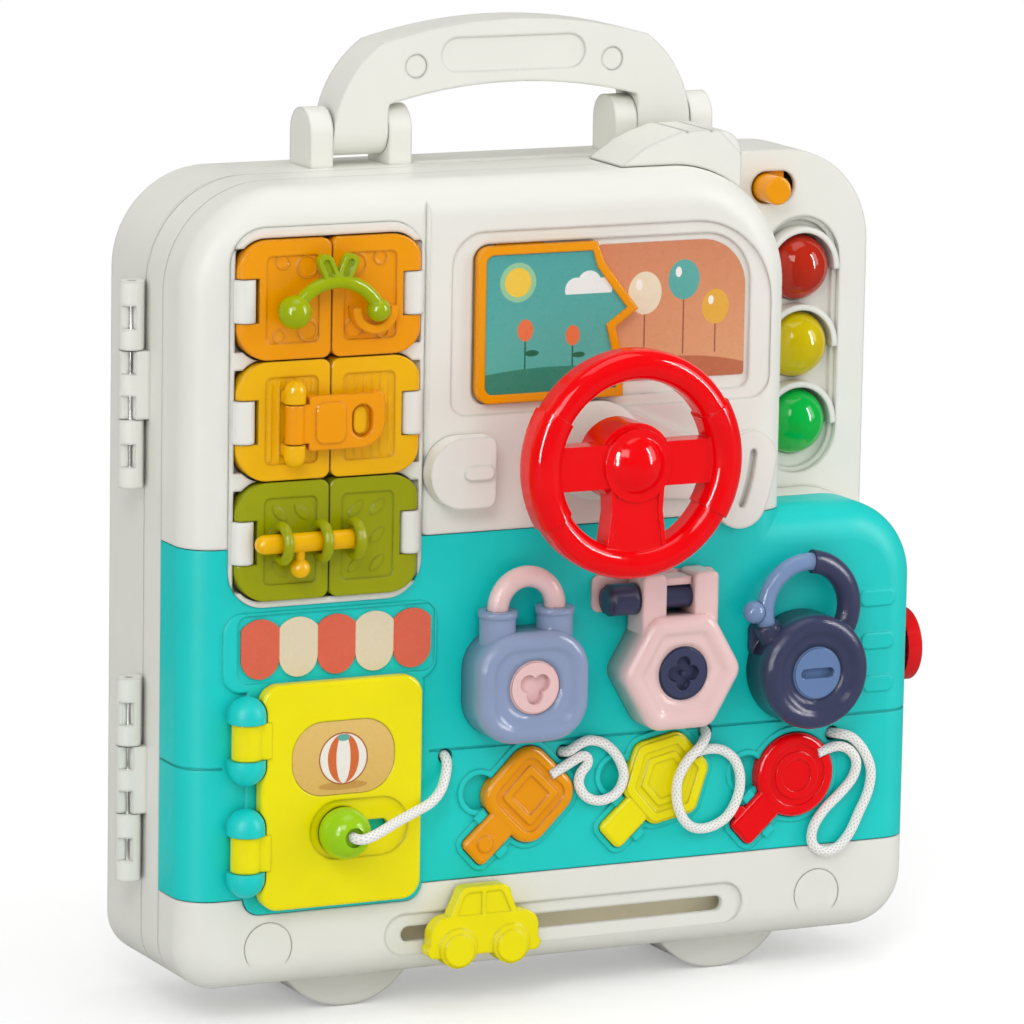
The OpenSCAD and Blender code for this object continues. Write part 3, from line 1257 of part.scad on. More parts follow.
key_points = [[-12.6, 73.9], [40, 75.5], [91.2, 72.3]];
key_turn = 222.7;
square_bow = 28.7;
bow_round = 8;
hexagon_bow = 16.5;
round_bow = 15;
bow_names = [0, 1, 2];
key_front = key_t - 2.2;
module bow(k, t) {
    half = square_bow / 2 + t;
    if (k == 0) rotate([0, 0, 45]) rounded(-half, half, -half, half, max(1, bow_round + t));
    if (k == 1) rotate([0, 0, 12]) hexagon_shape(hexagon_bow + t, max(1, 5 + t));
    if (k == 2) circle(round_bow + t);
}
module key_outline(k, t) {
    bow(k, t);
    rotate([0, 0, key_turn]) {
        corners(0, key_len + t, -blade_w / 2 - t, blade_w / 2 + t, [0.1, 2.4 + t, 2.4 + t, 0.1]);
        if (k == 2) translate([key_len - 5.6, -blade_w / 2]) circle(2.6 + t);
    }
}
module key(k, route) {
    last = route[len(route) - 1];
    prev = route[len(route) - 2];
    out = unit(prev - last);
    difference() {
        translate([key_points[k][0], 0, key_points[k][1]]) difference() {
            key_body(k);
            // stepped face of the bow
            plate(-key_front - 1, -key_front + 0.7) difference() {
                bow(k, -4);
                bow(k, -6.6);
            }
            plate(-key_front - 1, -key_front + 0.7) bow(k, -9.2);
        }
        translate(last) rotate([0, -atan2(out[2], out[0]), 0]) {
            rotate([0, 90, 0]) cylinder(r = cord_r + slip, h = 9);
            translate([0, -9, -cord_r - slip]) cube([9, 9, 2 * (cord_r + slip)]);
        }
    }
}
key_e = 2.2;
key_back = 2.2;
blade_step = 0.3;
// the key with rounded front edges
module key_body(k) {
    half = square_bow / 2;
    if (k == 0) rotate([0, -45, 0]) raised_slab(-half, half, -half, half, bow_round, key_e, key_front, key_back);
    if (k == 1) rotate([0, -12, 0]) hexagon_block(hexagon_bow, 5, 0.9, key_front, key_back);
    if (k == 2) turned(0, 0, key_back) soft_profile(round_bow, key_e, key_t);
    rotate([0, -key_turn, 0]) {
        raised_slab(blade_w / 2, key_len, -blade_w / 2, blade_w / 2, 2.4, 1.8, key_front - blade_step, key_back - blade_step);
        if (k == 0) translate([key_len - 6.4, 0.6 - key_front, 0]) rotate([90, 0, 0]) cylinder(r = 2.9, h = 0.9);
        if (k == 2) translate([key_len - 5.6, 0, -blade_w / 2]) rotate([90, 0, 0])
            translate([0, 0, blade_step - key_back]) cylinder(r = 2.6, h = key_t - 1.2);
    }
}
module key_square() color("orange") placed() key(0, route_square);
module key_hexagon() color("yellow") placed() key(1, route_hexagon);
module key_round() color("red") placed() key(2, route_round);

finger_at = [-18.4, 2];
module pocket_outline(k, t) {
    key_outline(k, t);
    translate(finger_at) circle(6 + t);
}
module pocket_outlines(t) for (k = bow_names) translate(key_points[k]) pocket_outline(k, t);
// two small clips beside the blade
clip_l = 4.6;
module key_clips(k) for (s = [-1, 1]) translate([key_points[k][0], 0, key_points[k][1]]) rotate([0, -key_turn, 0])
    translate([s > 0 ? 18.2 : 15.4, -1.4, s > 0 ? blade_w / 2 + fit : -blade_w / 2 - fit - 3]) cube([clip_l, 1.6, 3]);

rear_case();
rear_cover();
battery_door();
batteries();
lamp_board();
signal_housing();
signal_red();
signal_yellow();
signal_green();
slide_switch();
handle();
handle_pins();
handle_plugs();
hinge_pins();
front_tray();
upper_cover();
lower_cover();
bumper();
roof_box();
side_dial();
door_frame();
door_top_left();
door_top_right();
door_middle_left();
door_middle_right();
door_bottom_left();
door_bottom_right();
swing_latch();
hasp();
slide_bolt();
awning_label();
hatch();
hatch_label();
bead();
bead_cord();
window_tile();
tile_picture();
window_picture();
steering_base();
steering_spindle();
steering_wheel();
dash_knob();
toy_car();
car_clip();
square_lock();
square_shackle();
square_core();
hexagon_lock();
hexagon_plate();
hexagon_bolt();
hexagon_core();
round_lock();
round_shackle();
round_core();
key_square();
key_hexagon();
key_round();
cord_square();
cord_hexagon();
cord_round();
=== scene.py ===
"""Folding bus-shaped activity case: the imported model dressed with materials, prints and cords."""

import json
import math

import bmesh
import bpy
import numpy as np
from mathutils import Matrix, Vector


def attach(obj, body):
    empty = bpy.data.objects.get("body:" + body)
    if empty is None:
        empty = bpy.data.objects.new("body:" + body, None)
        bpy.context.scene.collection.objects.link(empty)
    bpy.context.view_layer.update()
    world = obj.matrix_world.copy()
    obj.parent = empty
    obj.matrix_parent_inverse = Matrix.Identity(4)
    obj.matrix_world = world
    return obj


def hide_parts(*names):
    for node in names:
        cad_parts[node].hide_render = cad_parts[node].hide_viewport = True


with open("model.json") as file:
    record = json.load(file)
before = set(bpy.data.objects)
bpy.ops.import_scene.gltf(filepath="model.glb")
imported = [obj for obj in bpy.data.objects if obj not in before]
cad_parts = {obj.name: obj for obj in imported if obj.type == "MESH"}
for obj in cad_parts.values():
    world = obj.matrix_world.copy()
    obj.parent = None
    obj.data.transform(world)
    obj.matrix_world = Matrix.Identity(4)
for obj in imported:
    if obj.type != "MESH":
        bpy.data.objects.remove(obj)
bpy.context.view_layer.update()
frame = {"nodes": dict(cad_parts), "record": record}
nodes = frame["nodes"]
BODY_OF = {node: body for body, names in frame["record"]["behaviour"]["bodies"].items()
           for node in names}

# The case's own drawing has its origin in the middle of the body, on the flat front and on the
# floor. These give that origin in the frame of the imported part, in millimetres.
MIDDLE_X = 1.8
FRONT_Y = -17.7


def mm(x, y, z):
    """A point of the case's own drawing, in millimetres, as a point of the scene in metres."""
    return Vector((x + MIDDLE_X, y + FRONT_Y, z)) / 1000


def add_piece(name, points, faces):
    """A new mesh object from points of the drawing in millimetres."""
    mesh = bpy.data.meshes.new(name)
    mesh.from_pydata([mm(*p) for p in points], [], faces)
    piece = bpy.data.objects.new(name, mesh)
    bpy.context.scene.collection.objects.link(piece)
    return piece


# ---- camera ----

TURN, TIP, ROLL = (math.radians(a) for a in (25.9, 10.6, 1.0))
LENS_MM = 240.64
SENSOR_MM = 36
CAMERA_MM = (-1024.39, -2068.12, 603.41)
CLIP_NEAR, CLIP_FAR = 0.05, 60


def make_camera():
    """The camera fitted to the photograph: turned right, tipped down and rolled a little."""
    level = math.cos(TIP)
    look = Vector((math.sin(TURN) * level, math.cos(TURN) * level, -math.sin(TIP)))
    right = Vector((math.cos(TURN), -math.sin(TURN), 0))
    up = right.cross(look)
    across = math.cos(ROLL) * right + math.sin(ROLL) * up
    above = math.cos(ROLL) * up - math.sin(ROLL) * right
    data = bpy.data.cameras.new("camera")
    data.lens = LENS_MM
    data.sensor_width = SENSOR_MM
    data.clip_start, data.clip_end = CLIP_NEAR, CLIP_FAR
    camera = bpy.data.objects.new("camera", data)
    bpy.context.scene.collection.objects.link(camera)
    turned = Matrix((across, above, -look)).transposed().to_4x4()
    camera.matrix_world = Matrix.Translation(mm(*CAMERA_MM)) @ turned
    bpy.context.scene.camera = camera


make_camera()

# ---- cords ----

# In millimetres: the radius, how far bends are eased, the step between rings and the length in
# which a strand goes once round.
CORD_R = 1.75
BEND_SOFTNESS = 0.8
BRAID_STEP = 0.3
BRAID_PITCH = 4.6
CURVE_STEPS = 40
BRAID_SIDES = 24
STRANDS = 8
# Radius between the strands and rise of a strand, as shares of the cord's radius.
VALLEY, RELIEF = 0.92, 0.1

# Middle lines of the cords, from the hole in the panel to the far end, as in the solids' source.
ROUTES = {
    "bead_cord": [
        (-44, 4, 89.7), (-44, 0.6, 89.7), (-44.3, -2.2, 87.6), (-45.6, -3.6, 83.2), (-48.6, -6.4, 79.2),
        (-53.4, -8.9, 76), (-58.8, -10.6, 74.2), (-64.6, -13.4, 73), (-70.6, -17.2, 72.1),
        (-76.4, -21, 71.1), (-81.4, -23.7, 70.1), (-84.8, -24.4, 69.4), (-86.6, -23.2, 69.1),
        (-87, -21, 69.1), (-87, -15, 69.1),
    ],
    "cord_square": [
        (1, 4, 87.4), (1, 0.6, 87.4), (2.4, -2.2, 88.2), (6, -2.6, 90.4), (10, -2.6, 91.4),
        (15.6, -2.6, 89.8), (20.6, -2.6, 85), (23.4, -2.6, 78.4), (21.6, -2.6, 72.8),
        (17.6, -2.6, 70.2), (13, -2.6, 69.8), (8.6, -2.6, 71.8), (6, -2.6, 76.2), (6.8, -2.6, 80.2),
        (9, -2.6, 82.6), (9.4, -2.6, 85), (7.4, -2.6, 86.2), (4.4, -2.6, 85), (0.6, -2.8, 83.2),
        (-5, -2.8, 80.4),
    ],
    "cord_hexagon": [
        (56.1, 4, 90.8), (56.1, 0.6, 90.8), (55, -3, 89.6), (51.4, -5.7, 86.4), (46.6, -5.8, 82),
        (43, -5.8, 75.6), (42.6, -5.8, 68.4), (44.6, -5.8, 62.4), (48.2, -4.8, 58.4),
        (53.4, -2.9, 56.4), (59.2, -2.6, 57), (64.8, -2.6, 60.4), (68.4, -2.6, 67), (69, -2.6, 74),
        (66.6, -2.6, 80), (62, -2.6, 83.6), (57.2, -2.6, 84.6), (52.6, -2.4, 84), (48.4, -2.4, 82.6),
    ],
    "cord_round": [
        (106.5, 4, 85.7), (106.5, 0.6, 85.7), (108.2, -2.2, 85.8), (113, -2.6, 84.2),
        (117.8, -2.6, 79.2), (121, -2.6, 72), (120.2, -2.6, 64.4), (116.8, -2.6, 57),
        (113.2, -2.6, 49.8), (108.6, -2.6, 45), (103, -2.6, 43.8), (98.4, -2.6, 47), (98.6, -2.6, 53),
        (103, -2.6, 59.2), (109, -2.6, 64.4), (113.8, -2.6, 69.6), (115.2, -2.6, 75),
        (112.6, -2.6, 79.4), (108.2, -2.6, 81.4), (103.6, -2.4, 80.8), (99.6, -2.4, 79.4),
    ],
}
# The body that each cord rides with, and the solid that holds its far end.
CORD_BODY = {"bead_cord": "big_hatch", "cord_square": "square_key", "cord_hexagon": "hexagon_key",
             "cord_round": "round_key"}


def distance_along(line):
    """How far along the line each of its points lies."""
    return np.concatenate([[0], np.cumsum(np.linalg.norm(np.diff(line, axis=0), axis=1))])


def curve_through(points):
    """A Catmull-Rom curve through the points."""
    p = np.array(points, float)
    p = np.vstack([2 * p[0] - p[1], p, 2 * p[-1] - p[-2]])
    t = np.linspace(0, 1, CURVE_STEPS, endpoint=False)[:, None]
    line = []
    for i in range(1, len(p) - 2):
        a, b, c, d = p[i - 1 : i + 3]
        line.append(0.5 * (2 * b + (c - a) * t + (2 * a - 5 * b + 4 * c - d) * t**2
                           + (3 * b - a - 3 * c + d) * t**3))
    return np.vstack([*line, p[-2:-1]])


def soften(even, step):
    """The evenly spaced line with its bends eased by a bell-shaped average; its ends stay put."""
    reach = int(3 * BEND_SOFTNESS / step)
    weight = np.exp(-0.5 * (np.arange(-reach, reach + 1) * step / BEND_SOFTNESS) ** 2)
    weight /= weight.sum()
    before = 2 * even[0] - even[reach:0:-1]
    after = 2 * even[-1] - even[-2 : -reach - 2 : -1]
    wide = np.vstack([before, even, after])
    return np.stack([np.convolve(wide[:, k], weight, mode="valid") for k in range(3)], axis=1)


def smooth_path(points, step):
    """The points joined by a smooth line, about step apart, and the distance along it."""
    line = curve_through(points)
    along = distance_along(line)
    at = np.linspace(0, along[-1], int(along[-1] / step) + 1)
    even = np.stack([np.interp(at, along, line[:, k]) for k in range(3)], axis=1)
    soft = soften(even, step)
    return soft, distance_along(soft)


def braid_points(line, at):
    """Rings of points round the line, each with the relief of two sets of crossing strands."""
    ahead = np.gradient(line, axis=0)
    ahead /= np.linalg.norm(ahead, axis=1)[:, None]
    side = np.cross(ahead[0], [1, 0, 0])
    angle = np.arange(BRAID_SIDES) * 2 * math.pi / BRAID_SIDES
    rings = []
    for i, (p, t) in enumerate(zip(line, ahead)):
        side = side - t * (side @ t)
        side /= np.linalg.norm(side)
        other = np.cross(t, side)
        one = np.abs(np.sin(angle * STRANDS / 2 + at[i] * math.tau / BRAID_PITCH))
        two = np.abs(np.sin(angle * STRANDS / 2 - at[i] * math.tau / BRAID_PITCH))
        r = CORD_R * (VALLEY + RELIEF * np.maximum(one, two))[:, None]
        rings.append(p + r * (np.cos(angle)[:, None] * side + np.sin(angle)[:, None] * other))
    return np.vstack(rings)


def braid_faces(at):
    """Faces of the tube and its two ends, and each corner's place round and along the braid."""
    faces, places = [], []
    n, k = len(at), BRAID_SIDES
    for i in range(n - 1):
        low, high = at[i] / BRAID_PITCH, at[i + 1] / BRAID_PITCH
        for j in range(k):
            m = (j + 1) % k
            faces.append((i * k + j, (i + 1) * k + j, (i + 1) * k + m, i * k + m))
            left, right = j / k, (j + 1) / k
            places += [(left, low), (left, high), (right, high), (right, low)]
    faces.append(tuple(range(k)))
    faces.append(tuple(range((n - 1) * k, n * k))[::-1])
    places += [(0, 0)] * (2 * k)
    return faces, places


def braided_cord(name):
    """A round braided cord along its route, in the place of the plain solid."""
    line, at = smooth_path(ROUTES[name], BRAID_STEP)
    faces, places = braid_faces(at)
    piece = add_piece(name + "_braid", braid_points(line, at), faces)
    layer = piece.data.uv_layers.new(name="braid")
    for corner, place in zip(layer.data, places):
        corner.uv = place
    piece.data.shade_smooth()
    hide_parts(name)
    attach(piece, CORD_BODY[name])
    path = [mm(*p) for p in line]
    return piece


cords = [braided_cord(name) for name in ROUTES]

# ---- tray behind the slot of the toy car ----

# Middle of the slot and half size of the tray across and up; the depths run back from the front.
SLOT_MID = (2.75, 27.9)
TRAY_HALF = (68, 8.2)
TRAY_WALL = 1.0
TRAY_FRONT, TRAY_FLOOR, TRAY_BACK = 5.6, 7.4, 8.2
TRAY_END_STEPS = 16


def tray_ring(inset, y):
    """The tray's outline with its round ends, set in and at a depth."""
    x0, z0 = SLOT_MID
    half, r = TRAY_HALF[0] - TRAY_HALF[1], TRAY_HALF[1] - inset
    turn = [math.pi * k / TRAY_END_STEPS - math.pi / 2 for k in range(TRAY_END_STEPS + 1)]
    right = [(x0 + half + r * math.cos(a), y, z0 + r * math.sin(a)) for a in turn]
    left = [(x0 - half - r * math.cos(a), y, z0 - r * math.sin(a)) for a in turn]
    return right + left


def slot_tray():
    """A shallow tray with rounded ends that closes the slot from behind."""
    rings = [tray_ring(0, TRAY_BACK), tray_ring(0, TRAY_FRONT),
             tray_ring(TRAY_WALL, TRAY_FRONT), tray_ring(TRAY_WALL, TRAY_FLOOR)]
    n, last = len(rings[0]), len(rings) - 1
    faces = [tuple(range(n)), tuple(range(last * n, (last + 1) * n))[::-1]]
    for i in range(last):
        for j in range(n):
            m = (j + 1) % n
            faces.append((i * n + j, (i + 1) * n + j, (i + 1) * n + m, i * n + m))
    piece = add_piece("slot_tray", [p for ring in rings for p in ring], faces)
    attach(piece, "front_half")
    return piece


tray = slot_tray()

# ---- soft crowns of the padlocks ----

# Depths, negative toward the viewer: the solid's own front, the crown's highest line, the floor of
# its dish and its back edge.
LOCK_FRONT = -15.0
CROWN_TOP = -16.5
DISH_FLOOR = -15.15
CROWN_BACK = -0.4
# The wall stands this far outside the solid and turns into the crown with this radius.
CROWN_GROW = 0.12
CROWN_ROUND = 3.4
# Where the dish starts inside the rounding, and how wide its slope is.
DISH_START = 1.0
DISH_SLOPE = 2.8
# Radius of the hole round the turning core, and how far its wall goes into the solid.
CORE_HOLE = 9.8
HOLE_WALL = 1.0
# The hidden inner skin: set in from the outline, and how far it lies behind the front.
SKIN_INSET = 1.5
SKIN_DEPTH = 3.5
# Corners that are set in keep at least this radius.
LEAST_CORNER = 1.5
RING_POINTS = 144
CORNER_STEPS, SIDE_STEPS = 24, 24
ROUND_STEPS, DISH_STEPS = 8, 10


def even_ring(dense):
    """The same closed outline with its points at even angles round its middle."""
    dense = np.array(dense)
    angle = np.arctan2(dense[:, 1], dense[:, 0]) % math.tau
    order = np.argsort(angle)
    want = np.arange(RING_POINTS) * math.tau / RING_POINTS
    x, z = (np.interp(want, angle[order], dense[order, k], period=math.tau) for k in (0, 1))
    return list(zip(x, z))


def many_sided(angles, reach, r):
    """Outline with round corners, as a function of how far it is set in.

    The corners lie at the angles, their centres at reach across and up, and r is their radius.
    """
    half_sweep = math.pi / len(angles)

    def corner(angle, corner_r, pull):
        shift = pull / math.cos(half_sweep)
        cx = reach[0] * math.cos(angle) - shift * math.cos(angle)
        cz = reach[1] * math.sin(angle) - shift * math.sin(angle)
        turn = [angle + half_sweep * (2 * k / CORNER_STEPS - 1) for k in range(CORNER_STEPS + 1)]
        return [(cx + corner_r * math.cos(a), cz + corner_r * math.sin(a)) for a in turn]

    def outline(inset):
        corner_r = max(r - inset, LEAST_CORNER)
        corners = [corner(angle, corner_r, inset - (r - corner_r)) for angle in angles]
        dense = []
        for one, two in zip(corners, corners[1:] + corners[:1]):
            (x0, z0), (x1, z1) = one[-1], two[0]
            dense += one
            dense += [(x0 + (x1 - x0) * k / SIDE_STEPS, z0 + (z1 - z0) * k / SIDE_STEPS)
                      for k in range(1, SIDE_STEPS)]
        return even_ring(dense)

    return outline


def round_outline(r):
    """The same for a circle."""
    turn = [math.tau * k / RING_POINTS for k in range(RING_POINTS)]
    return lambda inset: [((r - inset) * math.cos(a), (r - inset) * math.sin(a)) for a in turn]


def crown_profile():
    """Inset and depth of the rings: up the wall, over the round crown and down into the dish."""
    steps = [(-CROWN_GROW, CROWN_BACK)]
    for k in range(ROUND_STEPS + 1):
        a = math.pi / 2 * k / ROUND_STEPS
        steps.append((-CROWN_GROW + CROWN_ROUND * (1 - math.cos(a)),
                      CROWN_TOP + CROWN_ROUND * (1 - math.sin(a))))
    for k in range(1, DISH_STEPS + 1):
        share = k / DISH_STEPS
        fall = (1 - math.cos(math.pi * share)) / 2
        steps.append((CROWN_ROUND + DISH_START + DISH_SLOPE * share,
                      CROWN_TOP + (DISH_FLOOR - CROWN_TOP) * fall))
    return steps


def toward_hole(ring, core, share):
    """The ring moved by a share of the way to the round hole of the core."""
    moved = []
    for x, y, z in ring:
        dx, dz = x - core[0], z - core[1]
        far = math.hypot(dx, dz)
        r = far + (CORE_HOLE - far) * share
        moved.append((core[0] + dx / far * r, y, core[1] + dz / far * r))
    return moved


def crown_rings(middle, core, outline):
    """All rings of a crown: outer wall, crown, dish, hole of the core and the hidden inner skin."""
    rings = [[(x + middle[0], y, z + middle[1]) for x, z in outline(inset)]
             for inset, y in crown_profile()]
    dish = rings[-1]
    rings += [toward_hole(dish, core, 0.5), toward_hole(dish, core, 1.0)]
    rings.append([(x, LOCK_FRONT + HOLE_WALL, z) for x, _, z in rings[-1]])
    inner = [(x + middle[0], z + middle[1]) for x, z in outline(SKIN_INSET)]
    rings.append([(x, LOCK_FRONT + SKIN_DEPTH, z) for x, z in inner])
    rings.append([(x, CROWN_BACK, z) for x, z in inner])
    return rings


def face_outward(mesh):
    """Turns all faces of a closed mesh outward."""
    made = bmesh.new()
    made.from_mesh(mesh)
    bmesh.ops.recalc_face_normals(made, faces=made.faces)
    made.to_mesh(mesh)
    made.free()


def lock_crown(name, node, middle, core, outline):
    """A closed shell of soft form over a lock's front, riding with the lock."""
    rings = crown_rings(middle, core, outline)
    n, turns = RING_POINTS, len(rings)
    faces = []
    for i in range(turns):
        for j in range(n):
            k, m = (i + 1) % turns, (j + 1) % n
            faces.append((i * n + j, i * n + m, k * n + m, k * n + j))
    piece = add_piece(name, [p for ring in rings for p in ring], faces)
    face_outward(piece.data)
    piece.data.shade_smooth()
    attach(piece, BODY_OF[node])
    return piece


SQUARE = [math.pi / 4 + math.pi / 2 * i for i in range(4)]
HEXAGON = [math.pi / 3 * i for i in range(6)]
DIAGONAL = math.sqrt(2)
# Middles of the locks and of the square lock's core; the other two cores sit in the middle.
SQUARE_MID, SQUARE_CORE = (-17.65, 114.35), (-17.6, 114.6)
HEXAGON_MID = (39.3, 115.3)
ROUND_MID = (91.9, 111.3)
# How far the centres of the corners lie from the middle, and the radii.
SQUARE_REACH, SQUARE_R = (6.75 * DIAGONAL, 5.15 * DIAGONAL), 14
HEXAGON_REACH, HEXAGON_R = (16, 16), 6
ROUND_R = 20.1
square_outline = many_sided(SQUARE, SQUARE_REACH, SQUARE_R)
hexagon_outline = many_sided(HEXAGON, HEXAGON_REACH, HEXAGON_R)
crowns = [
    lock_crown("square_crown", "square_lock", SQUARE_MID, SQUARE_CORE, square_outline),
    lock_crown("hexagon_crown", "hexagon_lock", HEXAGON_MID, HEXAGON_MID, hexagon_outline),
    lock_crown("round_crown", "round_lock", ROUND_MID, ROUND_MID, round_outline(ROUND_R)),
]

# ---- node helpers ----

# Sockets of the colour Mix node, whose names repeat for each kind of data.
MIX_FACTOR, MIX_A, MIX_B, MIX_RESULT = 0, 6, 7, 2


def linear(c):
    """The sRGB curve: a level from 0 to 255 as linear light."""
    return ((c / 255 + 0.055) / 1.055) ** 2.4 if c > 10 else c / 3294.6


def tone(r, g, b):
    """A colour given as it shows, 0 to 255, as the linear colour a shader takes."""
    return (linear(r), linear(g), linear(b), 1)


class Tree:
    """A material's nodes, and short ways to add to them."""

    def __init__(self, name):
        self.material = bpy.data.materials.new(name)
        self.material.use_nodes = True
        self.nodes, self.links = self.material.node_tree.nodes, self.material.node_tree.links
        self.shader = self.nodes["Principled BSDF"]
        self.place = self.put("TexCoord").outputs["Object"]

    def put(self, kind, inputs=None, **settings):
        """A new node with these settings; inputs are values, sockets or fields."""
        node = self.nodes.new("ShaderNode" + kind)
        for key, value in settings.items():
            setattr(node, key, value)
        for key, value in (inputs or {}).items():
            self.join(value, node.inputs[key])
        return node

    def join(self, value, socket):
        if isinstance(value, Field):
            value = value.socket
        if isinstance(value, bpy.types.NodeSocket):
            self.links.new(value, socket)
        else:
            socket.default_value = value

    def set(self, **inputs):
        """Inputs of the shader, with _ for a space in their names."""
        for key, value in inputs.items():
            self.join(value, self.shader.inputs[key.replace("_", " ")])

    def noise(self, scale, detail, rough=0.5, stretch=None):
        at = self.place
        if stretch:
            at = self.put("Mapping", {"Vector": at, "Scale": stretch}).outputs["Vector"]
        made = self.put("TexNoise", {"Vector": at, "Scale": scale, "Detail": detail,
                                     "Roughness": rough})
        return Field(self, made.outputs["Fac"])

    def ramp(self, value, low, high, to_low=0.0, to_high=1.0):
        """The value brought from one range to another and held there."""
        made = self.put("MapRange", {"Value": value, "From Min": low, "From Max": high,
                                     "To Min": to_low, "To Max": to_high}, clamp=True)
        return Field(self, made.outputs["Result"])

    def blend(self, share, a, b):
        """The colour a where the share is 0 and b where it is 1."""
        made = self.put("Mix", data_type="RGBA")
        for key, value in ((MIX_FACTOR, share), (MIX_A, a), (MIX_B, b)):
            self.join(value, made.inputs[key])
        return made.outputs[MIX_RESULT]

    def adjust(self, colour, **inputs):
        """The colour with its Saturation or Value changed."""
        return self.put("HueSaturation", {"Color": colour, **inputs}).outputs["Color"]

    def bump(self, height, strength, distance=0.0001, **inputs):
        made = self.put("Bump", {"Height": height, **inputs, "Strength": strength,
                                 "Distance": distance})
        return made.outputs["Normal"]

    def axes(self):
        """Across and up in millimetres of the case's own drawing."""
        made = self.put("SeparateXYZ", {"Vector": self.place})
        x, z = (Field(self, made.outputs[k]) for k in "XZ")
        return x * 1000.0 - MIDDLE_X, z * 1000.0


class Field:
    """A number that varies over the surface, for sums with other numbers."""

    def __init__(self, tree, socket):
        self.tree, self.socket = tree, socket

    def sum(self, operation, *others):
        node = self.tree.nodes.new("ShaderNodeMath")
        node.operation = operation
        for i, value in enumerate((self, *others)):
            self.tree.join(value, node.inputs[i])
        return Field(self.tree, node.outputs[0])

    def __add__(self, other):
        return self.sum("ADD", other)

    def __sub__(self, other):
        return self.sum("SUBTRACT", other)

    def __mul__(self, other):
        return self.sum("MULTIPLY", other)

    def most(self, other):
        return self.sum("MAXIMUM", other)

    def size(self):
        return self.sum("ABSOLUTE")


# ---- materials ----

# How strongly edges are rubbed pale, what rubbing does to a colour, and how far in metres the
# painted shade reaches out from gaps, corners and recesses.
EDGE_WEAR = 0.25
RUBBED = {"Saturation": 0.85, "Value": 1.08}
PAINTED_SHADE_REACH = 0.0035
# Scales of the noises that cloud, rub, warp and polish the plastics, and their detail.
CLOUDS, RUBS, WAVES, PATCHES = (38, 3), (420, 3), (95, 1), (160, 4, 0.6)
SHADER_SAMPLES = 4


def plastic(name, colour, rough, grain, grain_mm, wave, specular,
            vary=0.03, edge_mm=0.45, deep=0.5):
    """Moulded plastic: faint clouding, fine grain, rounded and slightly rubbed edges, painted shade in
    gaps and corners.

    vary is the strength of the clouding, edge_mm the radius of the edges, and deep the share of
    its brightness that a colour keeps in the darkest painted shade of a gap or corner.
    """
    t = Tree(name)
    cloud = t.ramp(t.noise(*CLOUDS), 0.3, 0.7, 1 - vary, 1 + vary)
    bevel = t.put("Bevel", {"Radius": edge_mm / 1000}, samples=SHADER_SAMPLES)
    soft = bevel.outputs["Normal"]
    flat = t.put("NewGeometry").outputs["Normal"]
    turn = t.put("VectorMath", {0: soft, 1: flat}, operation="DOT_PRODUCT").outputs["Value"]
    edge = t.ramp(turn, 0.99, 0.8) * t.ramp(t.noise(*RUBS), 0.35, 0.65)
    # Painted shade: ambient occlusion darkens the colour in gaps, corners and recesses.
    painted_shade_ao = t.put("AmbientOcclusion", {"Distance": PAINTED_SHADE_REACH}, samples=SHADER_SAMPLES)
    painted_shade = t.ramp(painted_shade_ao.outputs["AO"], 0.0, 0.55, deep, 1.0)
    tint = t.adjust(colour, Value=cloud * painted_shade)
    rubbed = t.adjust(colour, **RUBBED)
    height = t.noise(1000 / grain_mm, 2, 0.6) * grain + t.noise(*WAVES) * wave
    patchy = t.ramp(t.noise(*PATCHES), 0.3, 0.7, rough - 0.05, rough + 0.06)
    t.set(Base_Color=t.blend(edge * EDGE_WEAR, tint, rubbed),
          Roughness=patchy + edge * 0.08,
          Normal=t.bump(height, 0.6, Normal=soft))
    t.shader.inputs["Specular IOR Level"].default_value = specular
    return t.material


def satin(name, colour, **more):
    """Half matt, finely grained."""
    return plastic(name, colour, rough=0.42, grain=0.35, grain_mm=0.45, wave=0.25, specular=0.28,
                   **more)


def gloss(name, colour, rough=0.12, **more):
    """Polished, with a slight unevenness."""
    return plastic(name, colour, rough=rough, grain=0.05, grain_mm=0.9, wave=0.12, specular=0.4,
                   **more)


def tinted(name, colour, deep):
    """Clear tinted plastic over a pale reflector."""
    t = Tree(name)
    t.set(Base_Color=t.blend(t.ramp(t.noise(60, 2), 0.3, 0.7), colour, deep),
          Roughness=t.ramp(t.noise(300, 3), 0.3, 0.7, 0.03, 0.09),
          Normal=t.bump(t.noise(120, 2), 0.2))
    t.shader.inputs["Transmission Weight"].default_value = 0.25
    t.shader.inputs["IOR"].default_value = 1.49
    return t.material


def cord_material():
    """White braid: two sets of strands read from the cord's own map, painted shade between them, and
    loose fibre.
    """
    t = Tree("braided_cord")
    uv = t.put("SeparateXYZ", {"Vector": t.put("TexCoord").outputs["UV"]})
    u, v = Field(t, uv.outputs["X"]), Field(t, uv.outputs["Y"])
    one = (u * (STRANDS * math.pi) + v * math.tau).sum("SINE").size()
    two = (u * (STRANDS * math.pi) - v * math.tau).sum("SINE").size()
    strand = one.most(two)
    thread = t.noise(2600, 3, 0.7)
    # Painted shade and light: the strands' tops are lighter and the valleys between them darker; the
    # fibre noise is the thread's own.
    lit = t.ramp(strand + thread * 0.4, 0.6, 1.1)
    t.set(Base_Color=t.blend(lit, tone(206, 204, 196), tone(250, 249, 246)),
          Roughness=t.ramp(thread, 0.3, 0.7, 0.7, 0.95),
          Normal=t.bump(strand + thread * 0.6, 0.5, distance=0.0002))
    t.shader.inputs["Sheen Weight"].default_value = 0.3
    t.shader.inputs["Sheen Roughness"].default_value = 0.5
    return t.material


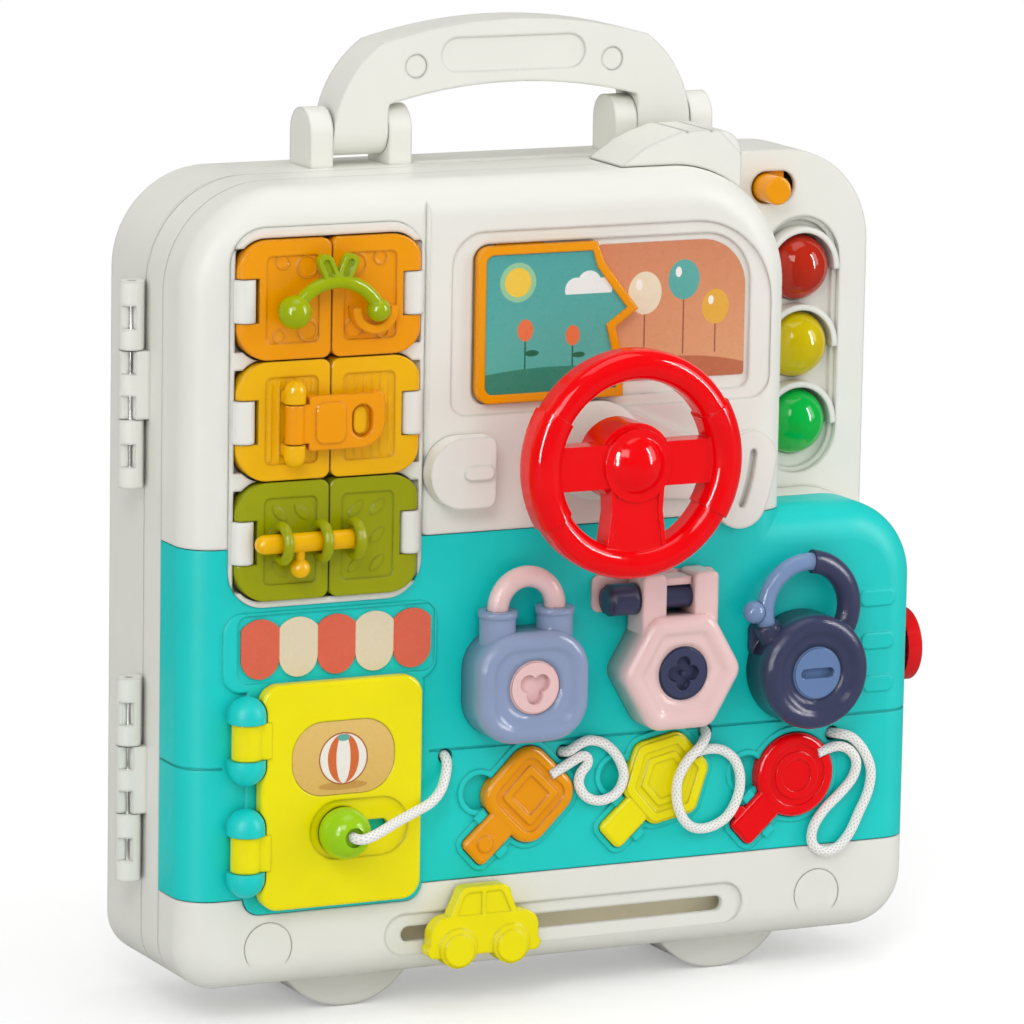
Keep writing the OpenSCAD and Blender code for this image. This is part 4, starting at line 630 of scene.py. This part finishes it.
def metal(name, colour, rough):
    """Brushed along Z."""
    t = Tree(name)
    brushed = t.noise(900, 3, 0.6, stretch=(1, 1, 0.08))
    t.set(Base_Color=t.blend(t.ramp(brushed, 0.35, 0.65), colour, tone(225, 225, 222)),
          Roughness=t.ramp(brushed, 0.3, 0.7, rough - 0.06, rough + 0.08),
          Normal=t.bump(brushed, 0.2))
    t.shader.inputs["Metallic"].default_value = 1
    return t.material


# ---- prints ----

# All places and sizes of the prints are millimetres of the case's own drawing.
PRINT_BLUR = 0.06
# Left edge of the awning and width of one stripe.
AWNING_X0, AWNING_STRIPE = -121.0, 14.08
# Middle and radius of each balloon, and its colour.
BALLOONS = [
    (30, 246, 6.4, tone(240, 226, 196)),
    (45, 250, 6, tone(92, 178, 168)),
    (57.4, 240, 5.2, tone(236, 178, 60)),
]


def printed(t, colour):
    """Paper label under a thin clear film."""
    fibre = t.noise(1500, 3, 0.6)
    t.set(Base_Color=t.adjust(colour, Value=t.ramp(fibre, 0.3, 0.7, 0.985, 1.01)),
          Roughness=t.ramp(t.noise(200, 3), 0.3, 0.7, 0.22, 0.34),
          Normal=t.bump(fibre, 0.15))
    return t.material


def oval(t, x, z, cx, cz, rx, rz=None):
    """1 inside an ellipse, 0 outside, and a circle when one radius is given."""
    dx, dz = (x - cx) * (1 / rx), (z - cz) * (1 / (rz or rx))
    blur = PRINT_BLUR / rx
    return t.ramp((dx * dx + dz * dz).sum("SQRT"), 1 + blur, 1 - blur)


def stem(t, x, z, cx, low, high, half=0.3):
    """1 on an upright line from low to high, half its width to each side."""
    across = t.ramp((x - cx).size(), half + 0.05, half - 0.05)
    return across * t.ramp(z, low, low + 0.1) * t.ramp(z, high, high - 0.1)


def painted(t, ground, shapes):
    """Each shape's colour laid over what is below it."""
    for mask, colour in shapes:
        ground = t.blend(mask, ground, colour)
    return ground


def awning_material():
    """Red and cream stripes."""
    t = Tree("awning_stripes")
    x, _ = t.axes()
    place = ((x - AWNING_X0) * (1 / (2 * AWNING_STRIPE))).sum("FRACT")
    red = t.ramp(place, 0.505, 0.495)
    return printed(t, t.blend(red, tone(232, 218, 186), tone(229, 103, 75)))


def garden_print():
    """The sliding window tile: sun, cloud and two tulips on a hill."""
    t = Tree("window_print")
    x, z = t.axes()
    ground = t.blend(t.ramp(z, 214, 262), tone(92, 186, 172), tone(78, 168, 164))
    left, middle, right = (2, 249, 4.2), (7, 250.8, 4.6), (12, 249, 3.8)
    cloud = oval(t, x, z, *left).most(oval(t, x, z, *middle)).most(oval(t, x, z, *right))
    cloud = cloud * t.ramp(z, 247.4, 247.6)
    leaf = oval(t, x, z, -14.4, 228, 2.6, 1.1).most(oval(t, x, z, 3.4, 226.6, 2.4, 1.0))
    tulips = oval(t, x, z, -17, 236, 3, 3.8).most(oval(t, x, z, 1, 233.4, 2.7, 3.5))
    stems = stem(t, x, z, -17, 222, 234).most(stem(t, x, z, 1, 220, 232))
    return printed(t, painted(t, ground, [
        (oval(t, x, z, -20, 252.6, 6.8), tone(150, 205, 160)),
        (oval(t, x, z, -20, 252.6, 5), tone(246, 205, 66)),
        (cloud, tone(240, 244, 240)),
        (stems.most(leaf), tone(30, 110, 80)),
        (tulips, tone(238, 120, 70)),
        (oval(t, x, z, -6, 150, 120, 73), tone(52, 140, 116)),
    ]))


def balloon_print():
    """The fixed window picture: balloons over a meadow."""
    t = Tree("scene_print")
    x, z = t.axes()
    ground = t.blend(t.ramp(z, 218, 262), tone(230, 166, 118), tone(216, 138, 98))
    shapes = []
    for cx, cz, r, colour in BALLOONS:
        shine = oval(t, x, z, cx - r * 0.35, cz + r * 0.45, r * 0.2, r * 0.3)
        shapes += [
            (stem(t, x, z, cx, 224, cz - r, 0.25), tone(150, 84, 54)),
            (oval(t, x, z, cx, cz, r, r * 1.16), colour),
            (shine, tone(250, 246, 236)),
        ]
    shapes.append((oval(t, x, z, 42, 150, 90, 73.5), tone(196, 112, 74)))
    return printed(t, painted(t, ground, shapes))


def ball_print():
    """The oval label of the hatch: a beach ball."""
    t = Tree("oval_print")
    x, z = t.axes()
    cx, cz, r = -85.1, 93.6, 8.6
    ground = t.blend(t.ramp(z, 82, 106), tone(228, 186, 98), tone(234, 196, 112))
    return printed(t, painted(t, ground, [
        (oval(t, x, z, cx, cz - 9.4, 9, 1.5), tone(206, 156, 74)),
        (oval(t, x, z, cx, cz, r + 0.5), tone(176, 96, 40)),
        (oval(t, x, z, cx, cz, r), tone(244, 240, 230)),
        (oval(t, x, z, cx, cz, 5.8, r), tone(222, 110, 50)),
        (oval(t, x, z, cx, cz, 2.6, r), tone(244, 240, 230)),
        (oval(t, x, z, cx, cz + r - 1.4, 2.2, 1.2), tone(92, 178, 168)),
    ]))


# The material of each slot in the record.
LOOK = {
    "body_white": satin("body_white", tone(236, 236, 228), vary=0.012, edge_mm=1.6),
    "teal": satin("teal", tone(8, 211, 205), edge_mm=0.9),
    "orange": gloss("orange", tone(246, 158, 0), rough=0.14, edge_mm=1.2),
    "amber": gloss("amber", tone(246, 186, 0), rough=0.14, edge_mm=1.2),
    "olive": gloss("olive", tone(158, 164, 2), rough=0.14, edge_mm=1.2),
    "latch_green": gloss("latch_green", tone(160, 178, 2), edge_mm=0.9),
    "yellow": gloss("yellow", tone(248, 234, 0), rough=0.15, edge_mm=1.1),
    "lime": gloss("lime", tone(160, 212, 22)),
    "wheel_red": gloss("wheel_red", tone(246, 0, 10), rough=0.09),
    "dial_red": gloss("dial_red", tone(230, 18, 24)),
    "lamp_red": tinted("lamp_red", tone(214, 52, 24), tone(196, 36, 14)),
    "lamp_yellow": tinted("lamp_yellow", tone(240, 218, 0), tone(228, 200, 0)),
    "lamp_green": tinted("lamp_green", tone(0, 212, 84), tone(0, 196, 72)),
    "lock_blue": gloss("lock_blue", tone(146, 162, 195), rough=0.14, edge_mm=2.2),
    "light_blue": gloss("light_blue", tone(124, 149, 190), rough=0.14),
    "pink": gloss("pink", tone(240, 205, 203), rough=0.14, edge_mm=2.2),
    "rose": gloss("rose", tone(240, 200, 200), rough=0.14),
    "navy": gloss("navy", tone(62, 66, 96), rough=0.15, edge_mm=2.2),
    "cord": cord_material(),
    "awning_print": awning_material(),
    "window_print": garden_print(),
    "scene_print": balloon_print(),
    "oval_print": ball_print(),
    "steel": metal("steel", tone(150, 150, 148), 0.3),
    "circuit": satin("circuit", tone(20, 96, 48)),
    "cell": gloss("cell", tone(60, 60, 64)),
}

# The turning cores have sharper edges than the rest of their slot, and much deeper painted shade that
# darkens their keyholes.
CORES = {
    "square_core": ("rose_core", tone(240, 200, 200)),
    "hexagon_core": ("navy_core", tone(62, 66, 96)),
    "round_core": ("light_blue_core", tone(104, 132, 178)),
}
slots = {s["node"]: s["material_slot"] for s in frame["record"]["subparts"]}
for name, thing in nodes.items():
    thing.data.materials.clear()
    thing.data.materials.append(LOOK[slots[name]])
for cord in cords:
    cord.data.materials.append(LOOK["cord"])
for node, (name, colour) in CORES.items():
    nodes[node].data.materials[0] = gloss(name, colour, rough=0.14, edge_mm=0.4, deep=0.12)
for crown, slot in zip(crowns, ("lock_blue", "pink", "navy")):
    crown.data.materials.append(LOOK[slot])
tray.data.materials.append(satin("slot_grey", tone(246, 236, 206), deep=0.85))

# ---- floor and light ----

FLOOR_R = 14.0
FLOOR_SIDES = 96
# The floor is dull under the case and turns into plain white between these distances.
FLOOR_NEAR, FLOOR_FAR = 0.18, 0.5
FLOOR_GLOW = 0.3
# What the glossy plastics see of floor and sky is kept dim, so that it doesn't veil their colours.
FLOOR_IN_GLOSS = (0.22, 0.22, 0.22, 1)
SKY = 0.62
SKY_IN_GLOSS = 0.12
LAMP_AIM = Vector((0, 0, 0.16))


def make_floor():
    """A pale round floor that takes the shadow near the case and is lost in the white behind it."""
    mesh = bpy.data.meshes.new("floor")
    turn = [math.tau * i / FLOOR_SIDES for i in range(FLOOR_SIDES)]
    ring = [(FLOOR_R * math.cos(a), FLOOR_R * math.sin(a), 0) for a in turn]
    mesh.from_pydata(ring, [], [tuple(range(FLOOR_SIDES))])
    floor = bpy.data.objects.new("floor", mesh)
    bpy.context.scene.collection.objects.link(floor)
    t = Tree("floor")
    path = t.put("LightPath")
    cloud = t.ramp(t.noise(3, 2), 0.3, 0.7)
    pale = t.blend(cloud, (0.80, 0.80, 0.80, 1), (0.82, 0.82, 0.82, 1))
    t.set(Base_Color=t.blend(path.outputs["Is Glossy Ray"], pale, FLOOR_IN_GLOSS))
    t.shader.inputs["Roughness"].default_value = 0.9
    t.shader.inputs["Specular IOR Level"].default_value = 0.1
    seen = Field(t, path.outputs["Is Camera Ray"])
    away = t.put("VectorMath", {0: t.place}, operation="LENGTH").outputs["Value"]
    far = t.ramp(away, FLOOR_NEAR, FLOOR_FAR)
    level = seen * (far * (1 - FLOOR_GLOW) + FLOOR_GLOW)
    glow = t.put("Emission", {"Color": (1, 1, 1, 1), "Strength": level})
    black = t.put("Emission", {"Color": (0, 0, 0, 1), "Strength": 0.0})
    dull = t.put("MixShader", {0: seen * far, 1: t.shader.outputs[0], 2: black.outputs[0]})
    both = t.put("AddShader", {0: dull.outputs[0], 1: glow.outputs[0]})
    t.links.new(both.outputs[0], t.nodes["Material Output"].inputs["Surface"])
    mesh.materials.append(t.material)


def make_world():
    """White to the camera and through clear plastic, dimmer as light and dimmest in gloss."""
    world = bpy.data.worlds.new("studio")
    world.use_nodes = True
    tree = world.node_tree
    path = tree.nodes.new("ShaderNodeLightPath")
    seen = tree.nodes.new("ShaderNodeMath")
    seen.operation = "MAXIMUM"
    tree.links.new(path.outputs["Is Camera Ray"], seen.inputs[0])
    tree.links.new(path.outputs["Is Transmission Ray"], seen.inputs[1])
    level = tree.nodes.new("ShaderNodeMapRange")
    tree.links.new(seen.outputs[0], level.inputs["Value"])
    dim = tree.nodes.new("ShaderNodeMapRange")
    tree.links.new(path.outputs["Is Glossy Ray"], dim.inputs["Value"])
    dim.inputs["To Min"].default_value = SKY
    dim.inputs["To Max"].default_value = SKY_IN_GLOSS
    tree.links.new(dim.outputs[0], level.inputs["To Min"])
    level.inputs["To Max"].default_value = 1.0
    tree.nodes["Background"].inputs["Color"].default_value = (1, 1, 1, 1)
    tree.links.new(level.outputs[0], tree.nodes["Background"].inputs["Strength"])
    bpy.context.scene.world = world


def lamp(name, place, power, width, height, only_gloss=False):
    """A rectangle of light aimed at the middle of the case, in metres and watts."""
    data = bpy.data.lights.new(name, "AREA")
    data.shape, data.energy = "RECTANGLE", power
    data.size, data.size_y = width, height
    thing = bpy.data.objects.new(name, data)
    thing.location = place
    aim = LAMP_AIM - Vector(place)
    thing.rotation_euler = aim.to_track_quat("-Z", "Y").to_euler()
    thing.visible_diffuse = not only_gloss
    bpy.context.scene.collection.objects.link(thing)


make_floor()
make_world()
lamp("key", (-1.1, -1.6, 1.5), power=13.4, width=0.9, height=0.9)
lamp("side", (1.7, -1.0, 0.9), power=8, width=0.6, height=1.2)
lamp("top", (0.1, -0.2, 2.0), power=7, width=1.4, height=1.0)
lamp("strip", (-1.64, -1.14, 0.75), power=42, width=0.2, height=1.4, only_gloss=True)
lamp("far_strip", (1.5, -1.3, 0.8), power=24, width=0.12, height=1.4, only_gloss=True)

bpy.context.scene.view_settings.view_transform = "Standard"
